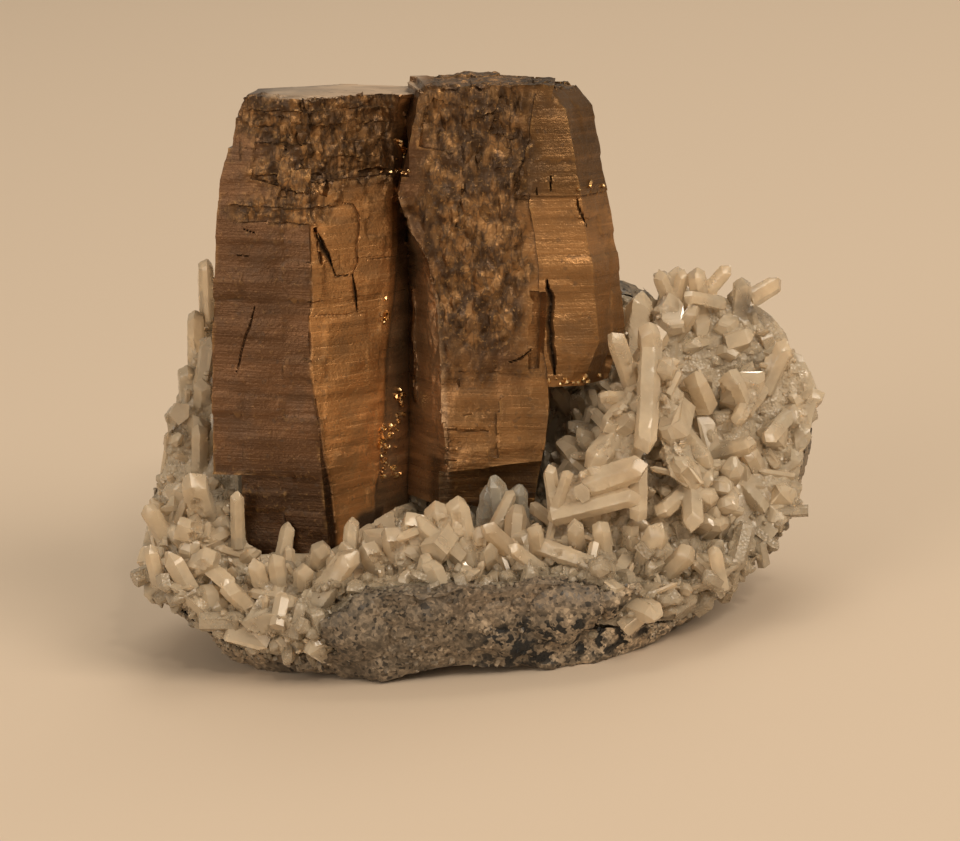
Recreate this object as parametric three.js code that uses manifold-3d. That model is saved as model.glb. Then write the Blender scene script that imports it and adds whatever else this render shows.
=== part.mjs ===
// Pyrrhotite specimen: two bronze crystals grown together stand in a nest of milky quartz crystals
// on a broken piece of matrix rock. Millimetres, +Z up. The front is towards -Y, and the origin is
// on the surface that the rock stands on, under the middle of the whole specimen.

import * as THREE from "three";
import { ConvexGeometry } from "three/addons/geometries/ConvexGeometry.js";
import { mergeVertices } from "three/addons/utils/BufferGeometryUtils.js";
import Module from "manifold-3d";

const wasm = await Module();
wasm.setup();

// Gap between neighbouring minerals, and how far a vertex moves out to leave it.
const CLEARANCE = 0.3;
const GROWTH = 2 * CLEARANCE;

// Height of the surface that the rock stands on, in the layout below, and room for the cutting blocks.
const GROUND = 0;
const ROOM = 400;

// Start of each run of random numbers and each wave.
const SEEDS = { breaks: 7, quartz: 23, rock: 41, body: 3, surface: 5 };

// The bronze crystals share one leaning frame: x right, y to the back, z up along the crystals.
const CRYSTAL_SEAT = new THREE.Vector3(-27, -10, 31);
const LEAN_BACK = THREE.MathUtils.degToRad(4.5);
const LEAN_RIGHT = THREE.MathUtils.degToRad(5.6);

// Left crystal, from its foot to its flat top: height, left edge, front ridge, right edge, seam.
const LEFT_FOOT = [
  { z: -16, left: -50, ridge: -24, right: -20, seam: -6 },
  { z: -2, left: -52, ridge: -25, right: -18, seam: -4 },
  { z: 8, left: -52.5, ridge: -25.5, right: -12, seam: 0 },
  { z: 25, left: -53, ridge: -27, right: -10, seam: 2 },
];
const LEFT_BODY = [
  { z: 24, left: -62, ridge: -27, right: -10, seam: 2 },
  { z: 48, left: -62, ridge: -29, right: -8, seam: 2 },
  { z: 67, left: -62, ridge: -31, right: -7, seam: 2 },
  { z: 94, left: -60.5, ridge: -30, right: -5, seam: 1 },
  { z: 117, left: -59, ridge: -30, right: -4.5, seam: 2 },
  { z: 128, left: -56, ridge: -31, right: -5, seam: 4 },
];
const LEFT_CROWN = [
  { z: 127, left: -55, ridge: -31, right: -6, seam: 4 },
  { z: 138, left: -53.5, ridge: -32, right: -3, seam: 5 },
  { z: 144, left: -51, ridge: -33, right: 1.5, seam: 7 },
];
const LEFT_DEPTH = { left: -10, ridge: -20, right: 2, seam: 18, flank: 24, seamBack: 32, back: 42 };
const LEFT_TAPER = 3;

// Right crystal, middle column: height, front edge beside the recess, front right corner.
const RIGHT_COLUMN = [
  { z: 12, edge: 13.5, corner: 40 },
  { z: 22, edge: 13, corner: 42 },
  { z: 34, edge: 12, corner: 44 },
  { z: 47, edge: 11, corner: 45 },
  { z: 79, edge: 9, corner: 43 },
  { z: 92, edge: 6, corner: 42 },
  { z: 101, edge: 1, corner: 41 },
  { z: 113, edge: -3, corner: 41 },
  { z: 127, edge: 0.5, corner: 42 },
  { z: 147.5, edge: 4, corner: 46 },
];
const RIGHT_DEPTH = { edge: -4, corner: -8, seam: 16, cornerBack: 24, seamBack: 32, back: 42 };
const RIGHT_BACK = { seam: 1, corner: 20, bulge: 2 };

// Right crystal, two blocks on its right flank: height, left edge, right edge, front.
const FLANK_SHAPE = { bevel: 9, bevelDepth: 2.5, side: 17, sideBack: 36, leftBack: 38, taper: 3 };
const FLANK_LOWER = [
  { z: 52, left: 45, right: 65, front: -10 },
  { z: 59, left: 44, right: 67, front: -10.5 },
  { z: 66, left: 42.5, right: 70, front: -10.5 },
  { z: 91, left: 41.5, right: 67.5, front: -10 },
  { z: 114, left: 38, right: 63.5, front: -9.5 },
];
const FLANK_UPPER = [
  { z: 113, left: 34, right: 64, front: -11.5 },
  { z: 118, left: 35, right: 63, front: -11.5 },
  { z: 129, left: 38, right: 61, front: -10 },
  { z: 140, left: 39.5, right: 59, front: -9 },
  { z: 146, left: 41, right: 54, front: -8 },
];

// Pieces broken or stepped out of the bronze crystals: middle, size and turn about z and y in degrees.
const BREAKS = [
  { name: "step above the lit block", at: [-12.5, -14.6, 134], size: [34, 26, 32], turn: [41, 0] },
  { name: "broken hollow, left", at: [-44, -20, 128], size: [10, 13, 22], turn: [-12, 9] },
  { name: "broken hollow, middle", at: [-34, -25, 134], size: [13, 15, 26], turn: [20, -14] },
  { name: "broken hollow, low", at: [-38, -23, 117], size: [9, 11, 12], turn: [-22, 24] },
  { name: "broken hollow, right", at: [-25, -19, 121], size: [9, 11, 14], turn: [38, 18] },
  { name: "crack beside the ridge", at: [-27.5, -18.5, 98], size: [1.3, 5, 13], turn: [30, -12] },
  { name: "crack under it", at: [-20.5, -12, 90], size: [1, 5, 12], turn: [40, -9] },
  { name: "chip at the left edge", at: [-62, -11, 118], size: [6, 8, 9], turn: [30, 20] },
  { name: "step at the top left", at: [-57, -8, 141], size: [7, 24, 9], turn: [6, -14] },
  { name: "notch at the right top", at: [2, 2, 151], size: [9, 60, 9], turn: [4, 22] },
  { name: "step on the right top", at: [62, 8, 151], size: [15, 60, 11], turn: [8, 20] },
  { name: "crack on the flank", at: [51, -11, 105], size: [1, 5, 11], turn: [10, 12] },
  { name: "notch under the flank", at: [69, -4, 55], size: [8, 22, 10], turn: [12, 6] },
  { name: "crevice beside the flank", at: [42, -10, 70], size: [3, 8, 26], turn: [24, 3] },
  { name: "slanted end of the column", at: [30, -10, 20], size: [44, 22, 12], turn: [0, -8] },
];

// How uneven the corners of a broken piece are, as a share of its size.
const UNEVEN = { breaks: 0.08, flakes: 0.3, rock: 0.16 };

// Flakes off the rough face of the middle column: where they lie and how deep a corner bites.
const FLAKES = { count: 8, bite: 1.8, width: [9, 18], height: [14, 30], across: [10, 38], up: [30, 145] };
const FLAKE_TURN = { middle: -7, spread: 24, tilt: 40 };

// Outside of the whole specimen, from the ground up: how far it reaches each way at a height.
const BODY_LEVELS = [
  { z: -20, left: -70, right: 50, front: -52, back: 46 },
  { z: 0, left: -84, right: 64, front: -61, back: 54 },
  { z: 12, left: -100, right: 81, front: -66, back: 61 },
  { z: 32, left: -114, right: 99, front: -68, back: 66 },
  { z: 48, left: -109, right: 106, front: -66, back: 68 },
  { z: 63, left: -104, right: 111, front: -62, back: 68 },
  { z: 80, left: -98, right: 104, front: -60, back: 67 },
  { z: 104, left: -91, right: 88, front: -56, back: 64 },
  { z: 140, left: -78, right: 50, front: -50, back: 54 },
];
const BODY_SIDES = 30;
const BODY_BOXINESS = 2.5;
const BODY_ROUGHNESS = 2.6;
const BODY_LUMPS = { around: 3, up: 20 };

// Height of the rough upper surface over the ground plan: a low sill in front and a wall round the back.
const SURFACE = [
  [-113, -4, 36], [-101, -25, 34], [-82, -42, 20], [-57, -51, 23], [-28, -53, 31], [6, -58, 30],
  [38, -60, 25], [60, -49, 19], [80, -31, 20], [97, -11, 38], [111, 1, 62], [105, 11, 76],
  [93, 21, 95], [76, 18, 99], [60, 14, 90], [54, -8, 76], [58, -28, 50], [80, -9, 62],
  [30, -34, 41], [0, -36, 43], [-30, -36, 41], [-48, -36, 38], [-68, -32, 37], [-92, -10, 50], [-97, 18, 72],
  [-91, 26, 96], [-85, 31, 117], [-70, 44, 112], [-30, 52, 104], [20, 52, 100], [50, 40, 98],
  [45, 5, 62], [0, 5, 24], [-50, 5, 40], [86, 44, 70], [0, 68, 70], [-88, 52, 80], [104, 30, 58],
  [-14, -22, 24], [12, -20, 28],
];
const SURFACE_STEP = 10;
const FLOOR_STEP = 16;
const SURFACE_BLEND = 12;
const SURFACE_ROUGHNESS = 2.4;
const SURFACE_LUMPS = { across: 22, up: 30 };
const SURFACE_REACH = { x: 120, y: 76 };

// The part of that surface that quartz covers: all but the back. Then how deep the quartz goes.
const QUARTZ_PLAN = [
  [-125, -10], [-110, -45], [-80, -70], [-52, -57], [-15, -60], [20, -62], [44, -60],
  [66, -72], [100, -45], [125, -10], [125, 14], [98, 27], [62, 31], [-60, 43], [-86, 41], [-125, 26],
];
const QUARTZ_DEPTH = 15;

// Pieces broken off the outside of the rock: middle, size and turn about z and y in degrees.
const ROCK_BREAKS = [
  { name: "arch under the front", at: [-14, -62, -1], size: [56, 36, 7], turn: [-12, 1] },
  { name: "front right corner", at: [84, -52, 12], size: [40, 26, 34], turn: [38, -20] },
  { name: "front face, right", at: [30, -72, 16], size: [44, 12, 20], turn: [4, -6] },
  { name: "front face, left", at: [-44, -71, 12], size: [40, 14, 22], turn: [-22, 12] },
  { name: "left underside", at: [-102, -24, 4], size: [40, 44, 18], turn: [-30, -24] },
  { name: "left side", at: [-116, 8, 22], size: [16, 40, 36], turn: [8, -12] },
  { name: "back, left", at: [-70, 70, 40], size: [70, 18, 60], turn: [10, 8] },
  { name: "back, right", at: [50, 74, 60], size: [80, 22, 50], turn: [-14, -10] },
  { name: "back, low", at: [10, 66, 6], size: [60, 24, 22], turn: [3, 5] },
  { name: "right side", at: [110, 34, 30], size: [26, 50, 46], turn: [24, 16] },
];

// Part of the ground plan that the bronze crystals stand over.
const BRONZE_PLAN = { reach: 55, front: -22, back: 36 };

// Smaller crystals over the bare quartz, kept apart from the single ones.
const COVER = { count: 40, width: [3.6, 6.5], length: [10, 16], spread: 0.7, root: 4 };
const COVER_ROOM = { apart: 8.5, reach: 109, rise: 0.15 };

// Single quartz crystals that stand out: foot, tip and width.
const CRYSTALS_RIGHT = [
  [[55, -20, 80], [56, -24, 99], 6.5],
  [[56, -20, 92], [50, -44, 61], 7.5],
  [[57, -18, 84], [62, -40, 48], 10],
  [[50, -18, 73], [44, -30, 98], 5.5],
  [[50, -20, 73], [38, -32, 78], 4],
  [[53, -20, 78], [38, -34, 67], 6],
  [[48, -22, 67], [32, -42, 57], 8],
  [[54, -20, 72], [41, -38, 54], 8.5],
  [[20, -42, 49], [51, -48, 59], 7.5],
  [[20, -44, 44], [48, -50, 50], 6],
  [[48, -38, 55], [46, -52, 42], 5.5],
  [[65, -26, 52], [63, -46, 35], 7],
  [[68, -26, 48], [52, -44, 41], 5.5],
  [[60, -14, 66], [71, -34, 52], 6.5],
];
const CRYSTALS_RIGHT_TOP = [
  [[67, 14, 90], [62, 14, 107], 5],
  [[66, 16, 92], [71, 16, 106], 4.5],
  [[76, 14, 92], [74, 12, 107], 6],
  [[75, 14, 95], [86, 14, 106], 5],
  [[82, 12, 94], [69, 2, 100], 4.5],
  [[51, 8, 76], [56, 14, 101], 8.5],
  [[62, 6, 78], [66, 10, 100], 8.5],
  [[66, 6, 86], [73, 0, 97], 5],
  [[57, -6, 80], [61, -10, 91], 5],
];
const CRYSTALS_RIM = [
  [[98, 4, 55], [112, 2, 64], 5.5],
  [[101, 2, 60], [105, -4, 48], 5],
  [[100, 2, 58], [90, -14, 53], 5.5],
  [[90, -2, 71], [81, -18, 61], 5],
  [[92, 2, 66], [102, 4, 82], 6.5],
  [[85, -6, 62], [80, -14, 78], 8],
  [[87, 14, 86], [90, 14, 102], 6.5],
  [[72, -10, 66], [68, -20, 80], 7],
  [[90, -6, 38], [103, -8, 47], 6],
  [[78, -12, 44], [88, -26, 33], 6],
  [[70, -20, 34], [80, -34, 25], 6],
  [[72, -14, 50], [87, -24, 56], 5.5],
];
const CRYSTALS_FRONT = [
  [[-57, -50, 24], [-42, -54, 43], 7.5],
  [[-35, -46, 33], [-40, -52, 44], 7],
  [[-28, -46, 33], [-32, -50, 48], 7.5],
  [[-21, -46, 32], [-25, -48, 52], 7.5],
  [[-14, -48, 31], [-17, -46, 54], 7.5],
  [[-8, -48, 30], [-10, -46, 55], 6.5],
  [[-4, -48, 29], [-3, -52, 46], 6],
  [[-27, -38, 42], [-37, -42, 53], 4.5],
  [[-22, -42, 44], [-6, -48, 50], 5],
  [[-6, -36, 44], [-1, -34, 68], 5.5],
  [[1, -40, 46], [16, -42, 57], 3.2],
  [[21, -42, 42], [20, -42, 61], 4.5],
  [[20, -43, 43], [26, -48, 60], 4],
  [[6, -48, 35], [-2, -58, 48], 5],
  [[14, -50, 33], [14, -57, 46], 5],
  [[18, -54, 27], [5, -62, 42], 4.5],
  [[14, -52, 38], [35, -63, 31], 5.5],
  [[38, -54, 22], [28, -65, 31], 5.5],
  [[45, -48, 24], [53, -54, 42], 7],
  [[53, -46, 22], [62, -54, 33], 6],
  [[34, -50, 30], [34, -56, 45], 6],
  [[26, -48, 34], [26, -58, 46], 5.5],
];
const CRYSTALS_LEFT = [
  [[-91, -12, 42], [-93, -22, 64], 8],
  [[-86, -16, 38], [-99, -32, 50], 8],
  [[-110, -22, 25], [-86, -37, 41], 6.5],
  [[-94, -26, 37], [-82, -42, 30], 5],
  [[-77, -38, 20], [-85, -46, 33], 6],
  [[-72, -36, 20], [-75, -42, 40], 5.5],
  [[-67, -38, 21], [-68, -43, 41], 5.5],
  [[-61, -40, 24], [-59, -48, 38], 6],
  [[-90, -32, 17], [-74, -49, 21], 6],
  [[-81, -22, 38], [-79, -26, 58], 4.5],
  [[-103, -10, 36], [-109, -14, 53], 5.5],
  [[-58, -44, 23], [-51, -56, 15], 5],
];
const CRYSTALS_LEFT_WALL = [
  [[-86, 27, 100], [-84, 26, 123], 5],
  [[-91, 25, 86], [-89, 22, 107], 5.5],
  [[-95, 22, 70], [-94, 18, 90], 5.5],
  [[-99, 18, 60], [-99, 15, 78], 5.5],
  [[-91, 16, 66], [-88, 9, 87], 5.5],
  [[-93, 6, 52], [-90, 0, 74], 5.5],
];

// Shape of one quartz crystal, as shares of its width: prism, then a blunt point with three steep faces.
const QUARTZ_SHAPE = { sides: 6, stout: 1.2, taper: 0.9, uneven: 0.3 };
const QUARTZ_POINT = { height: 0.55, faceStep: 0.16, skew: 0.5 };

// Repeatable random numbers from 0 to 1.
function randomFrom(seed) {
  let state = seed;
  return () => {
    state = (state * 1664525 + 1013904223) % 4294967296;
    return state / 4294967296;
  };
}

// A smooth uneven wave from -1 to 1 over space, for lumpy surfaces.
function waviness(p, seed) {
  const broad = Math.sin(p.x * 2.3 + seed) + Math.sin(p.y * 2.9 + seed * 1.7) + Math.sin(p.z * 2.6 - seed);
  const fine = Math.sin(p.x * 7.1 - seed * 2.3) * Math.sin(p.y * 6.3 + seed) * Math.sin(p.z * 8.2 + seed);
  return 0.25 * broad + 0.6 * fine;
}

// A closed geometry as a solid that can be joined and cut.
function toSolid(geometry) {
  const bare = geometry.clone();
  bare.deleteAttribute("normal");
  bare.deleteAttribute("uv");
  const merged = mergeVertices(bare, 1e-4);
  const corners = merged.index.array;
  const triangles = [];
  for (let i = 0; i < corners.length; i += 3) {
    const [a, b, c] = [corners[i], corners[i + 1], corners[i + 2]];
    if (a !== b && b !== c && c !== a) {
      triangles.push(a, b, c);
    }
  }
  const mesh = new wasm.Mesh({
    numProp: 3,
    vertProperties: new Float32Array(merged.attributes.position.array),
    triVerts: new Uint32Array(triangles),
  });
  return new wasm.Manifold(mesh);
}

function toGeometry(solid) {
  const mesh = solid.getMesh();
  const geometry = new THREE.BufferGeometry();
  geometry.setAttribute("position", new THREE.BufferAttribute(mesh.vertProperties, 3));
  geometry.setIndex(new THREE.BufferAttribute(mesh.triVerts, 1));
  geometry.computeVertexNormals();
  return geometry;
}

function fuse(solids) {
  return solids.reduce((joined, solid) => joined.add(solid));
}

// The largest connected body of a solid, without the crumbs that a cut can leave.
function mainBody(solid) {
  return solid.decompose().reduce((a, b) => (a.volume() > b.volume() ? a : b));
}

function hull(points) {
  return toSolid(new ConvexGeometry(points));
}

// A flat outline at a height, moved out from its middle by grow.
function ring(outline, z, grow) {
  const middle = new THREE.Vector2();
  outline.forEach(([x, y]) => middle.add(new THREE.Vector2(x, y)));
  middle.divideScalar(outline.length);
  return outline.map(([x, y]) => {
    const out = new THREE.Vector2(x, y).sub(middle);
    out.setLength(out.length() + grow).add(middle);
    return new THREE.Vector3(out.x, out.y, z);
  });
}

// A crystal column whose outline changes from level to level.
function column(levels, outlineAt, grow) {
  const blocks = [];
  for (let i = 0; i + 1 < levels.length; i += 1) {
    const [low, high] = [levels[i], levels[i + 1]];
    const foot = ring(outlineAt(low), i === 0 ? low.z - grow : low.z, grow);
    const head = ring(outlineAt(high), i + 2 === levels.length ? high.z + grow : high.z, grow);
    blocks.push(hull([...foot, ...head]));
  }
  return fuse(blocks);
}

function leftOutline({ left, ridge, right, seam }) {
  const depth = LEFT_DEPTH;
  const backCorner = (left + seam) / 2;
  return [
    [left, depth.left],
    [ridge, depth.ridge],
    [right, depth.right],
    [seam, depth.seam],
    [seam - LEFT_TAPER, depth.seamBack],
    [backCorner, depth.back],
    [left + LEFT_TAPER, depth.flank],
  ];
}

function rightOutline({ edge, corner }) {
  const depth = RIGHT_DEPTH;
  return [
    [Math.min(0, edge - 0.5), depth.seam],
    [edge, depth.edge],
    [corner, depth.corner],
    [corner + RIGHT_BACK.bulge, depth.cornerBack],
    [corner - RIGHT_BACK.corner, depth.back],
    [RIGHT_BACK.seam, depth.seamBack],
  ];
}

function flankOutline({ left, right, front }) {
  const shape = FLANK_SHAPE;
  return [
    [left, front],
    [right - shape.bevel, front + shape.bevelDepth],
    [right, front + shape.side],
    [right - shape.taper, front + shape.sideBack],
    [left - shape.taper, front + shape.leftBack],
  ];
}

// A rough block with uneven corners, used to break pieces away.
function roughBlock({ at, size, turn }, random, unevenness) {
  const corners = [];
  const [aboutZ, aboutY] = turn.map(THREE.MathUtils.degToRad);
  const spin = new THREE.Euler(0, aboutY, aboutZ, "ZYX");
  for (const x of [-0.5, 0.5]) {
    for (const y of [-0.5, 0.5]) {
      for (const z of [-0.5, 0.5]) {
        const corner = new THREE.Vector3(x, y, z).multiply(new THREE.Vector3(...size));
        corner.multiplyScalar(1 - unevenness * random());
        corners.push(corner.applyEuler(spin).add(new THREE.Vector3(...at)));
      }
    }
  }
  return hull(corners);
}

// A large block that bites into the rough face with one corner only.
function flake(random) {
  const width = THREE.MathUtils.lerp(...FLAKES.width, random());
  const height = THREE.MathUtils.lerp(...FLAKES.height, random());
  const x = THREE.MathUtils.lerp(...FLAKES.across, random());
  const z = THREE.MathUtils.lerp(...FLAKES.up, random());
  const front = THREE.MathUtils.mapLinear(x, ...FLAKES.across, RIGHT_DEPTH.edge, RIGHT_DEPTH.corner);
  const at = [x, front - width / 2 + FLAKES.bite * random(), z];
  const { middle, spread, tilt } = FLAKE_TURN;
  const turn = [middle + spread * (random() - 0.5), tilt * (random() - 0.5)];
  return roughBlock({ at, size: [width, width, height], turn }, random, UNEVEN.flakes);
}

// Both bronze crystals, in the leaning frame. Grown, they are the plain columns without the breaks.
function bronzeColumns(grow) {
  return fuse([
    column(LEFT_FOOT, leftOutline, grow),
    column(LEFT_BODY, leftOutline, grow),
    column(LEFT_CROWN, leftOutline, grow),
    column(RIGHT_COLUMN, rightOutline, grow),
    column(FLANK_LOWER, flankOutline, grow),
    column(FLANK_UPPER, flankOutline, grow),
  ]);
}

function leaningMatrix() {
  const lean = new THREE.Matrix4().makeRotationFromEuler(new THREE.Euler(-LEAN_BACK, LEAN_RIGHT, 0));
  return lean.setPosition(CRYSTAL_SEAT);
}

function leant(solid) {
  return solid.transform(leaningMatrix().elements);
}

function bronzeCrystals() {
  const random = randomFrom(SEEDS.breaks);
  const cuts = BREAKS.map((piece) => roughBlock(piece, random, UNEVEN.breaks));
  for (let i = 0; i < FLAKES.count; i += 1) {
    cuts.push(flake(random));
  }
  return leant(mainBody(cuts.reduce((rest, cut) => rest.subtract(cut), bronzeColumns(0))));
}

// The rounded, broken outside of the whole specimen, moved out by grow.
function bodySolid(grow) {
  const geometry = new THREE.CylinderGeometry(1, 1, 1, BODY_SIDES, BODY_LEVELS.length - 1);
  geometry.rotateX(Math.PI / 2);
  const place = geometry.attributes.position;
  for (let i = 0; i < place.count; i += 1) {
    const [x, y] = [place.getX(i), place.getY(i)];
    const level = BODY_LEVELS[Math.round((0.5 + place.getZ(i)) * (BODY_LEVELS.length - 1))];
    const round = (Math.abs(x) ** BODY_BOXINESS + Math.abs(y) ** BODY_BOXINESS) ** (-1 / BODY_BOXINESS);
    const side = Math.hypot(x, y) < 0.5 ? 0 : round;
    const lump = new THREE.Vector3(BODY_LUMPS.around * x, BODY_LUMPS.around * y, level.z / BODY_LUMPS.up);
    const bump = BODY_ROUGHNESS * waviness(lump, SEEDS.body) + grow;
    const reachX = x > 0 ? level.right : -level.left;
    const reachY = y > 0 ? level.back : -level.front;
    place.setXYZ(i, x * side * (reachX + bump), y * side * (reachY + bump), level.z);
  }
  return toSolid(geometry);
}

// Height of the upper surface over a point of the ground plan, by distance to the given heights.
function surfaceHeight(x, y) {
  let sum = 0;
  let weights = 0;
  for (const [px, py, height] of SURFACE) {
    const weight = 1 / ((x - px) ** 2 + (y - py) ** 2 + SURFACE_BLEND) ** 2;
    sum += weight * height;
    weights += weight;
  }
  return sum / weights;
}

function roughHeight(x, y) {
  const height = surfaceHeight(x, y);
  const { across, up } = SURFACE_LUMPS;
  const lump = new THREE.Vector3(x / across, y / across, height / up);
  return height + SURFACE_ROUGHNESS * waviness(lump, SEEDS.surface);
}

// Everything under a height over the ground plan, down below the ground.
function underSurface(heightAt, step) {
  const width = 2 * step * Math.ceil(SURFACE_REACH.x / step);
  const depth = 2 * step * Math.ceil(SURFACE_REACH.y / step);
  const geometry = new THREE.BoxGeometry(width, depth, 1, width / step, depth / step, 1);
  const place = geometry.attributes.position;
  for (let i = 0; i < place.count; i += 1) {
    const [x, y] = [place.getX(i), place.getY(i)];
    place.setZ(i, place.getZ(i) > 0 ? heightAt(x, y) : BODY_LEVELS[0].z);
  }
  return toSolid(geometry);
}

// An upright prism over the quartz plan, moved out by grow.
function quartzPrism(grow) {
  const shape = new THREE.Shape(ring(QUARTZ_PLAN, 0, grow).map((p) => new THREE.Vector2(p.x, p.y)));
  return toSolid(new THREE.ExtrudeGeometry(shape, { depth: ROOM / 2, bevelEnabled: false }));
}

// The rock under and around the quartz. Grown, it is what the quartz has to stay clear of.
function rockBody(grow) {
  const floor = underSurface((x, y) => surfaceHeight(x, y) - QUARTZ_DEPTH + 3 * grow, FLOOR_STEP);
  const pocket = quartzPrism(GROWTH - 2 * grow).subtract(floor);
  const whole = underSurface((x, y) => roughHeight(x, y) + grow, SURFACE_STEP);
  return bodySolid(grow).intersect(whole).subtract(pocket);
}

// One quartz crystal from its foot to its tip.
function quartzCrystal([foot, tip, width], random) {
  const from = new THREE.Vector3(...foot);
  const axis = new THREE.Vector3(...tip).sub(from);
  const length = axis.length();
  const turn = new THREE.Quaternion().setFromUnitVectors(new THREE.Vector3(0, 0, 1), axis.normalize());
  const { sides, stout, taper, uneven } = QUARTZ_SHAPE;
  const { height, faceStep, skew } = QUARTZ_POINT;
  const radius = (stout * width) / 2;
  const shoulder = length - height * width;
  const start = random() * Math.PI;
  const points = [new THREE.Vector3(skew * radius * (random() - 0.5), 0, length)];
  for (let i = 0; i < sides; i += 1) {
    const angle = start + (i * 2 * Math.PI) / sides;
    const side = radius * (1 + uneven * (random() - 0.5));
    const rise = shoulder + (i % 2 === 0 ? faceStep : -faceStep) * width;
    points.push(new THREE.Vector3(side * Math.cos(angle), side * Math.sin(angle), 0));
    points.push(new THREE.Vector3(taper * side * Math.cos(angle), taper * side * Math.sin(angle), rise));
  }
  return hull(points.map((p) => p.applyQuaternion(turn).add(from)));
}

// Direction straight out of the upper surface.
function surfaceNormal(x, y) {
  const step = SURFACE_STEP / 2;
  const slopeX = (surfaceHeight(x + step, y) - surfaceHeight(x - step, y)) / (2 * step);
  const slopeY = (surfaceHeight(x, y + step) - surfaceHeight(x, y - step)) / (2 * step);
  return new THREE.Vector3(-slopeX, -slopeY, 1).normalize();
}

// Smaller crystals scattered over the quartz where no single crystal has its foot.
function coverCrystals(single, random) {
  const feet = single.map(([foot]) => new THREE.Vector3(...foot));
  const grown = [];
  while (grown.length < COVER.count) {
    const x = THREE.MathUtils.lerp(BODY_LEVELS[3].left, BODY_LEVELS[5].right, random());
    const y = THREE.MathUtils.lerp(BODY_LEVELS[3].front, LEFT_DEPTH.back, random());
    const out = surfaceNormal(x, y);
    const lean = new THREE.Vector3(random() - 0.5, random() - 0.5, random() - 0.5);
    const aim = out.clone().addScaledVector(lean, 2 * COVER.spread).normalize();
    const width = THREE.MathUtils.lerp(...COVER.width, random());
    const length = THREE.MathUtils.lerp(...COVER.length, random());
    const foot = new THREE.Vector3(x, y, surfaceHeight(x, y)).addScaledVector(out, -COVER.root);
    const tip = foot.clone().addScaledVector(aim, length);
    const crowded = feet.some((other) => other.distanceTo(foot) < COVER_ROOM.apart);
    const outside = Math.abs(tip.x) > COVER_ROOM.reach || aim.z < COVER_ROOM.rise;
    if (crowded || outside || underBronze(x, y) || !insidePlan(x, y)) {
      continue;
    }
    feet.push(foot);
    grown.push(quartzCrystal([foot.toArray(), tip.toArray(), width], random));
  }
  return grown;
}

// Whether a place on the ground plan is covered by the bronze crystals.
function underBronze(x, y) {
  const { reach, front, back } = BRONZE_PLAN;
  return Math.abs(x - CRYSTAL_SEAT.x) < reach && y > front && y < back;
}

function insidePlan(x, y) {
  let inside = false;
  QUARTZ_PLAN.forEach(([ax, ay], i) => {
    const [bx, by] = QUARTZ_PLAN[(i + 1) % QUARTZ_PLAN.length];
    if (ay > y !== by > y && x < ax + ((bx - ax) * (y - ay)) / (by - ay)) {
      inside = !inside;
    }
  });
  return inside;
}

function groundBlock() {
  const block = new THREE.BoxGeometry(ROOM, ROOM, ROOM);
  block.translate(0, 0, GROUND - ROOM / 2);
  return toSolid(block);
}

function quartzCrust() {
  const random = randomFrom(SEEDS.quartz);
  const single = [
    ...CRYSTALS_RIGHT,
    ...CRYSTALS_RIGHT_TOP,
    ...CRYSTALS_RIM,
    ...CRYSTALS_FRONT,
    ...CRYSTALS_LEFT,
    ...CRYSTALS_LEFT_WALL,
  ];
  const bed = underSurface(roughHeight, SURFACE_STEP).intersect(quartzPrism(0)).intersect(bodySolid(0));
  const grown = fuse([
    bed,
    ...single.map((crystal) => quartzCrystal(crystal, random)),
    ...coverCrystals(single, random),
  ]);
  return mainBody(
    grown.subtract(rockBody(CLEARANCE)).subtract(leant(bronzeColumns(GROWTH))).subtract(groundBlock()),
  );
}

function matrixRock() {
  const random = randomFrom(SEEDS.rock);
  const cuts = ROCK_BREAKS.map((piece) => roughBlock(piece, random, UNEVEN.rock));
  const broken = cuts.reduce((rest, cut) => rest.subtract(cut), rockBody(0));
  return mainBody(broken.subtract(leant(bronzeColumns(GROWTH))).subtract(groundBlock()));
}

function named(name, solid, material) {
  const mesh = new THREE.Mesh(toGeometry(solid), new THREE.MeshStandardMaterial(material));
  mesh.name = name;
  return mesh;
}

const specimen = new THREE.Group();
specimen.add(
  named("pyrrhotite_crystals", bronzeCrystals(), { color: 0x6e4a2a, roughness: 0.42, metalness: 0.75 }),
  named("quartz_crystals", quartzCrust(), { color: 0xb9ad92, roughness: 0.25, metalness: 0 }),
  named("matrix_rock", matrixRock(), { color: 0x9a9184, roughness: 0.85, metalness: 0 }),
);

// The origin goes under the middle of the finished specimen.
const middle = new THREE.Box3().setFromObject(specimen).getCenter(new THREE.Vector3());
specimen.position.set(-middle.x, -middle.y, -GROUND);

export default specimen;
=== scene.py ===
import math
import random

import bpy
import numpy as np
from mathutils import Matrix, Quaternion, Vector
from mathutils.bvhtree import BVHTree


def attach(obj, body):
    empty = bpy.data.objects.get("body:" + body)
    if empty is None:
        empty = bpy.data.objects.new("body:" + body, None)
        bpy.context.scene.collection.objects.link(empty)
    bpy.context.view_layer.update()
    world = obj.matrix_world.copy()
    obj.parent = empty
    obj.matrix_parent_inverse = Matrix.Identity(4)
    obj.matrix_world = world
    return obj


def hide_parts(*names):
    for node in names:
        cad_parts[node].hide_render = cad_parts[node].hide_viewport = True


mm = 0.001
toMm = 1000
fullTurn = 6.283
mergeReach = 0.000002
leastWeight = 0.002
mostTriangles = 190000  # in one piece
sharpAngle = math.radians(30)

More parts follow.
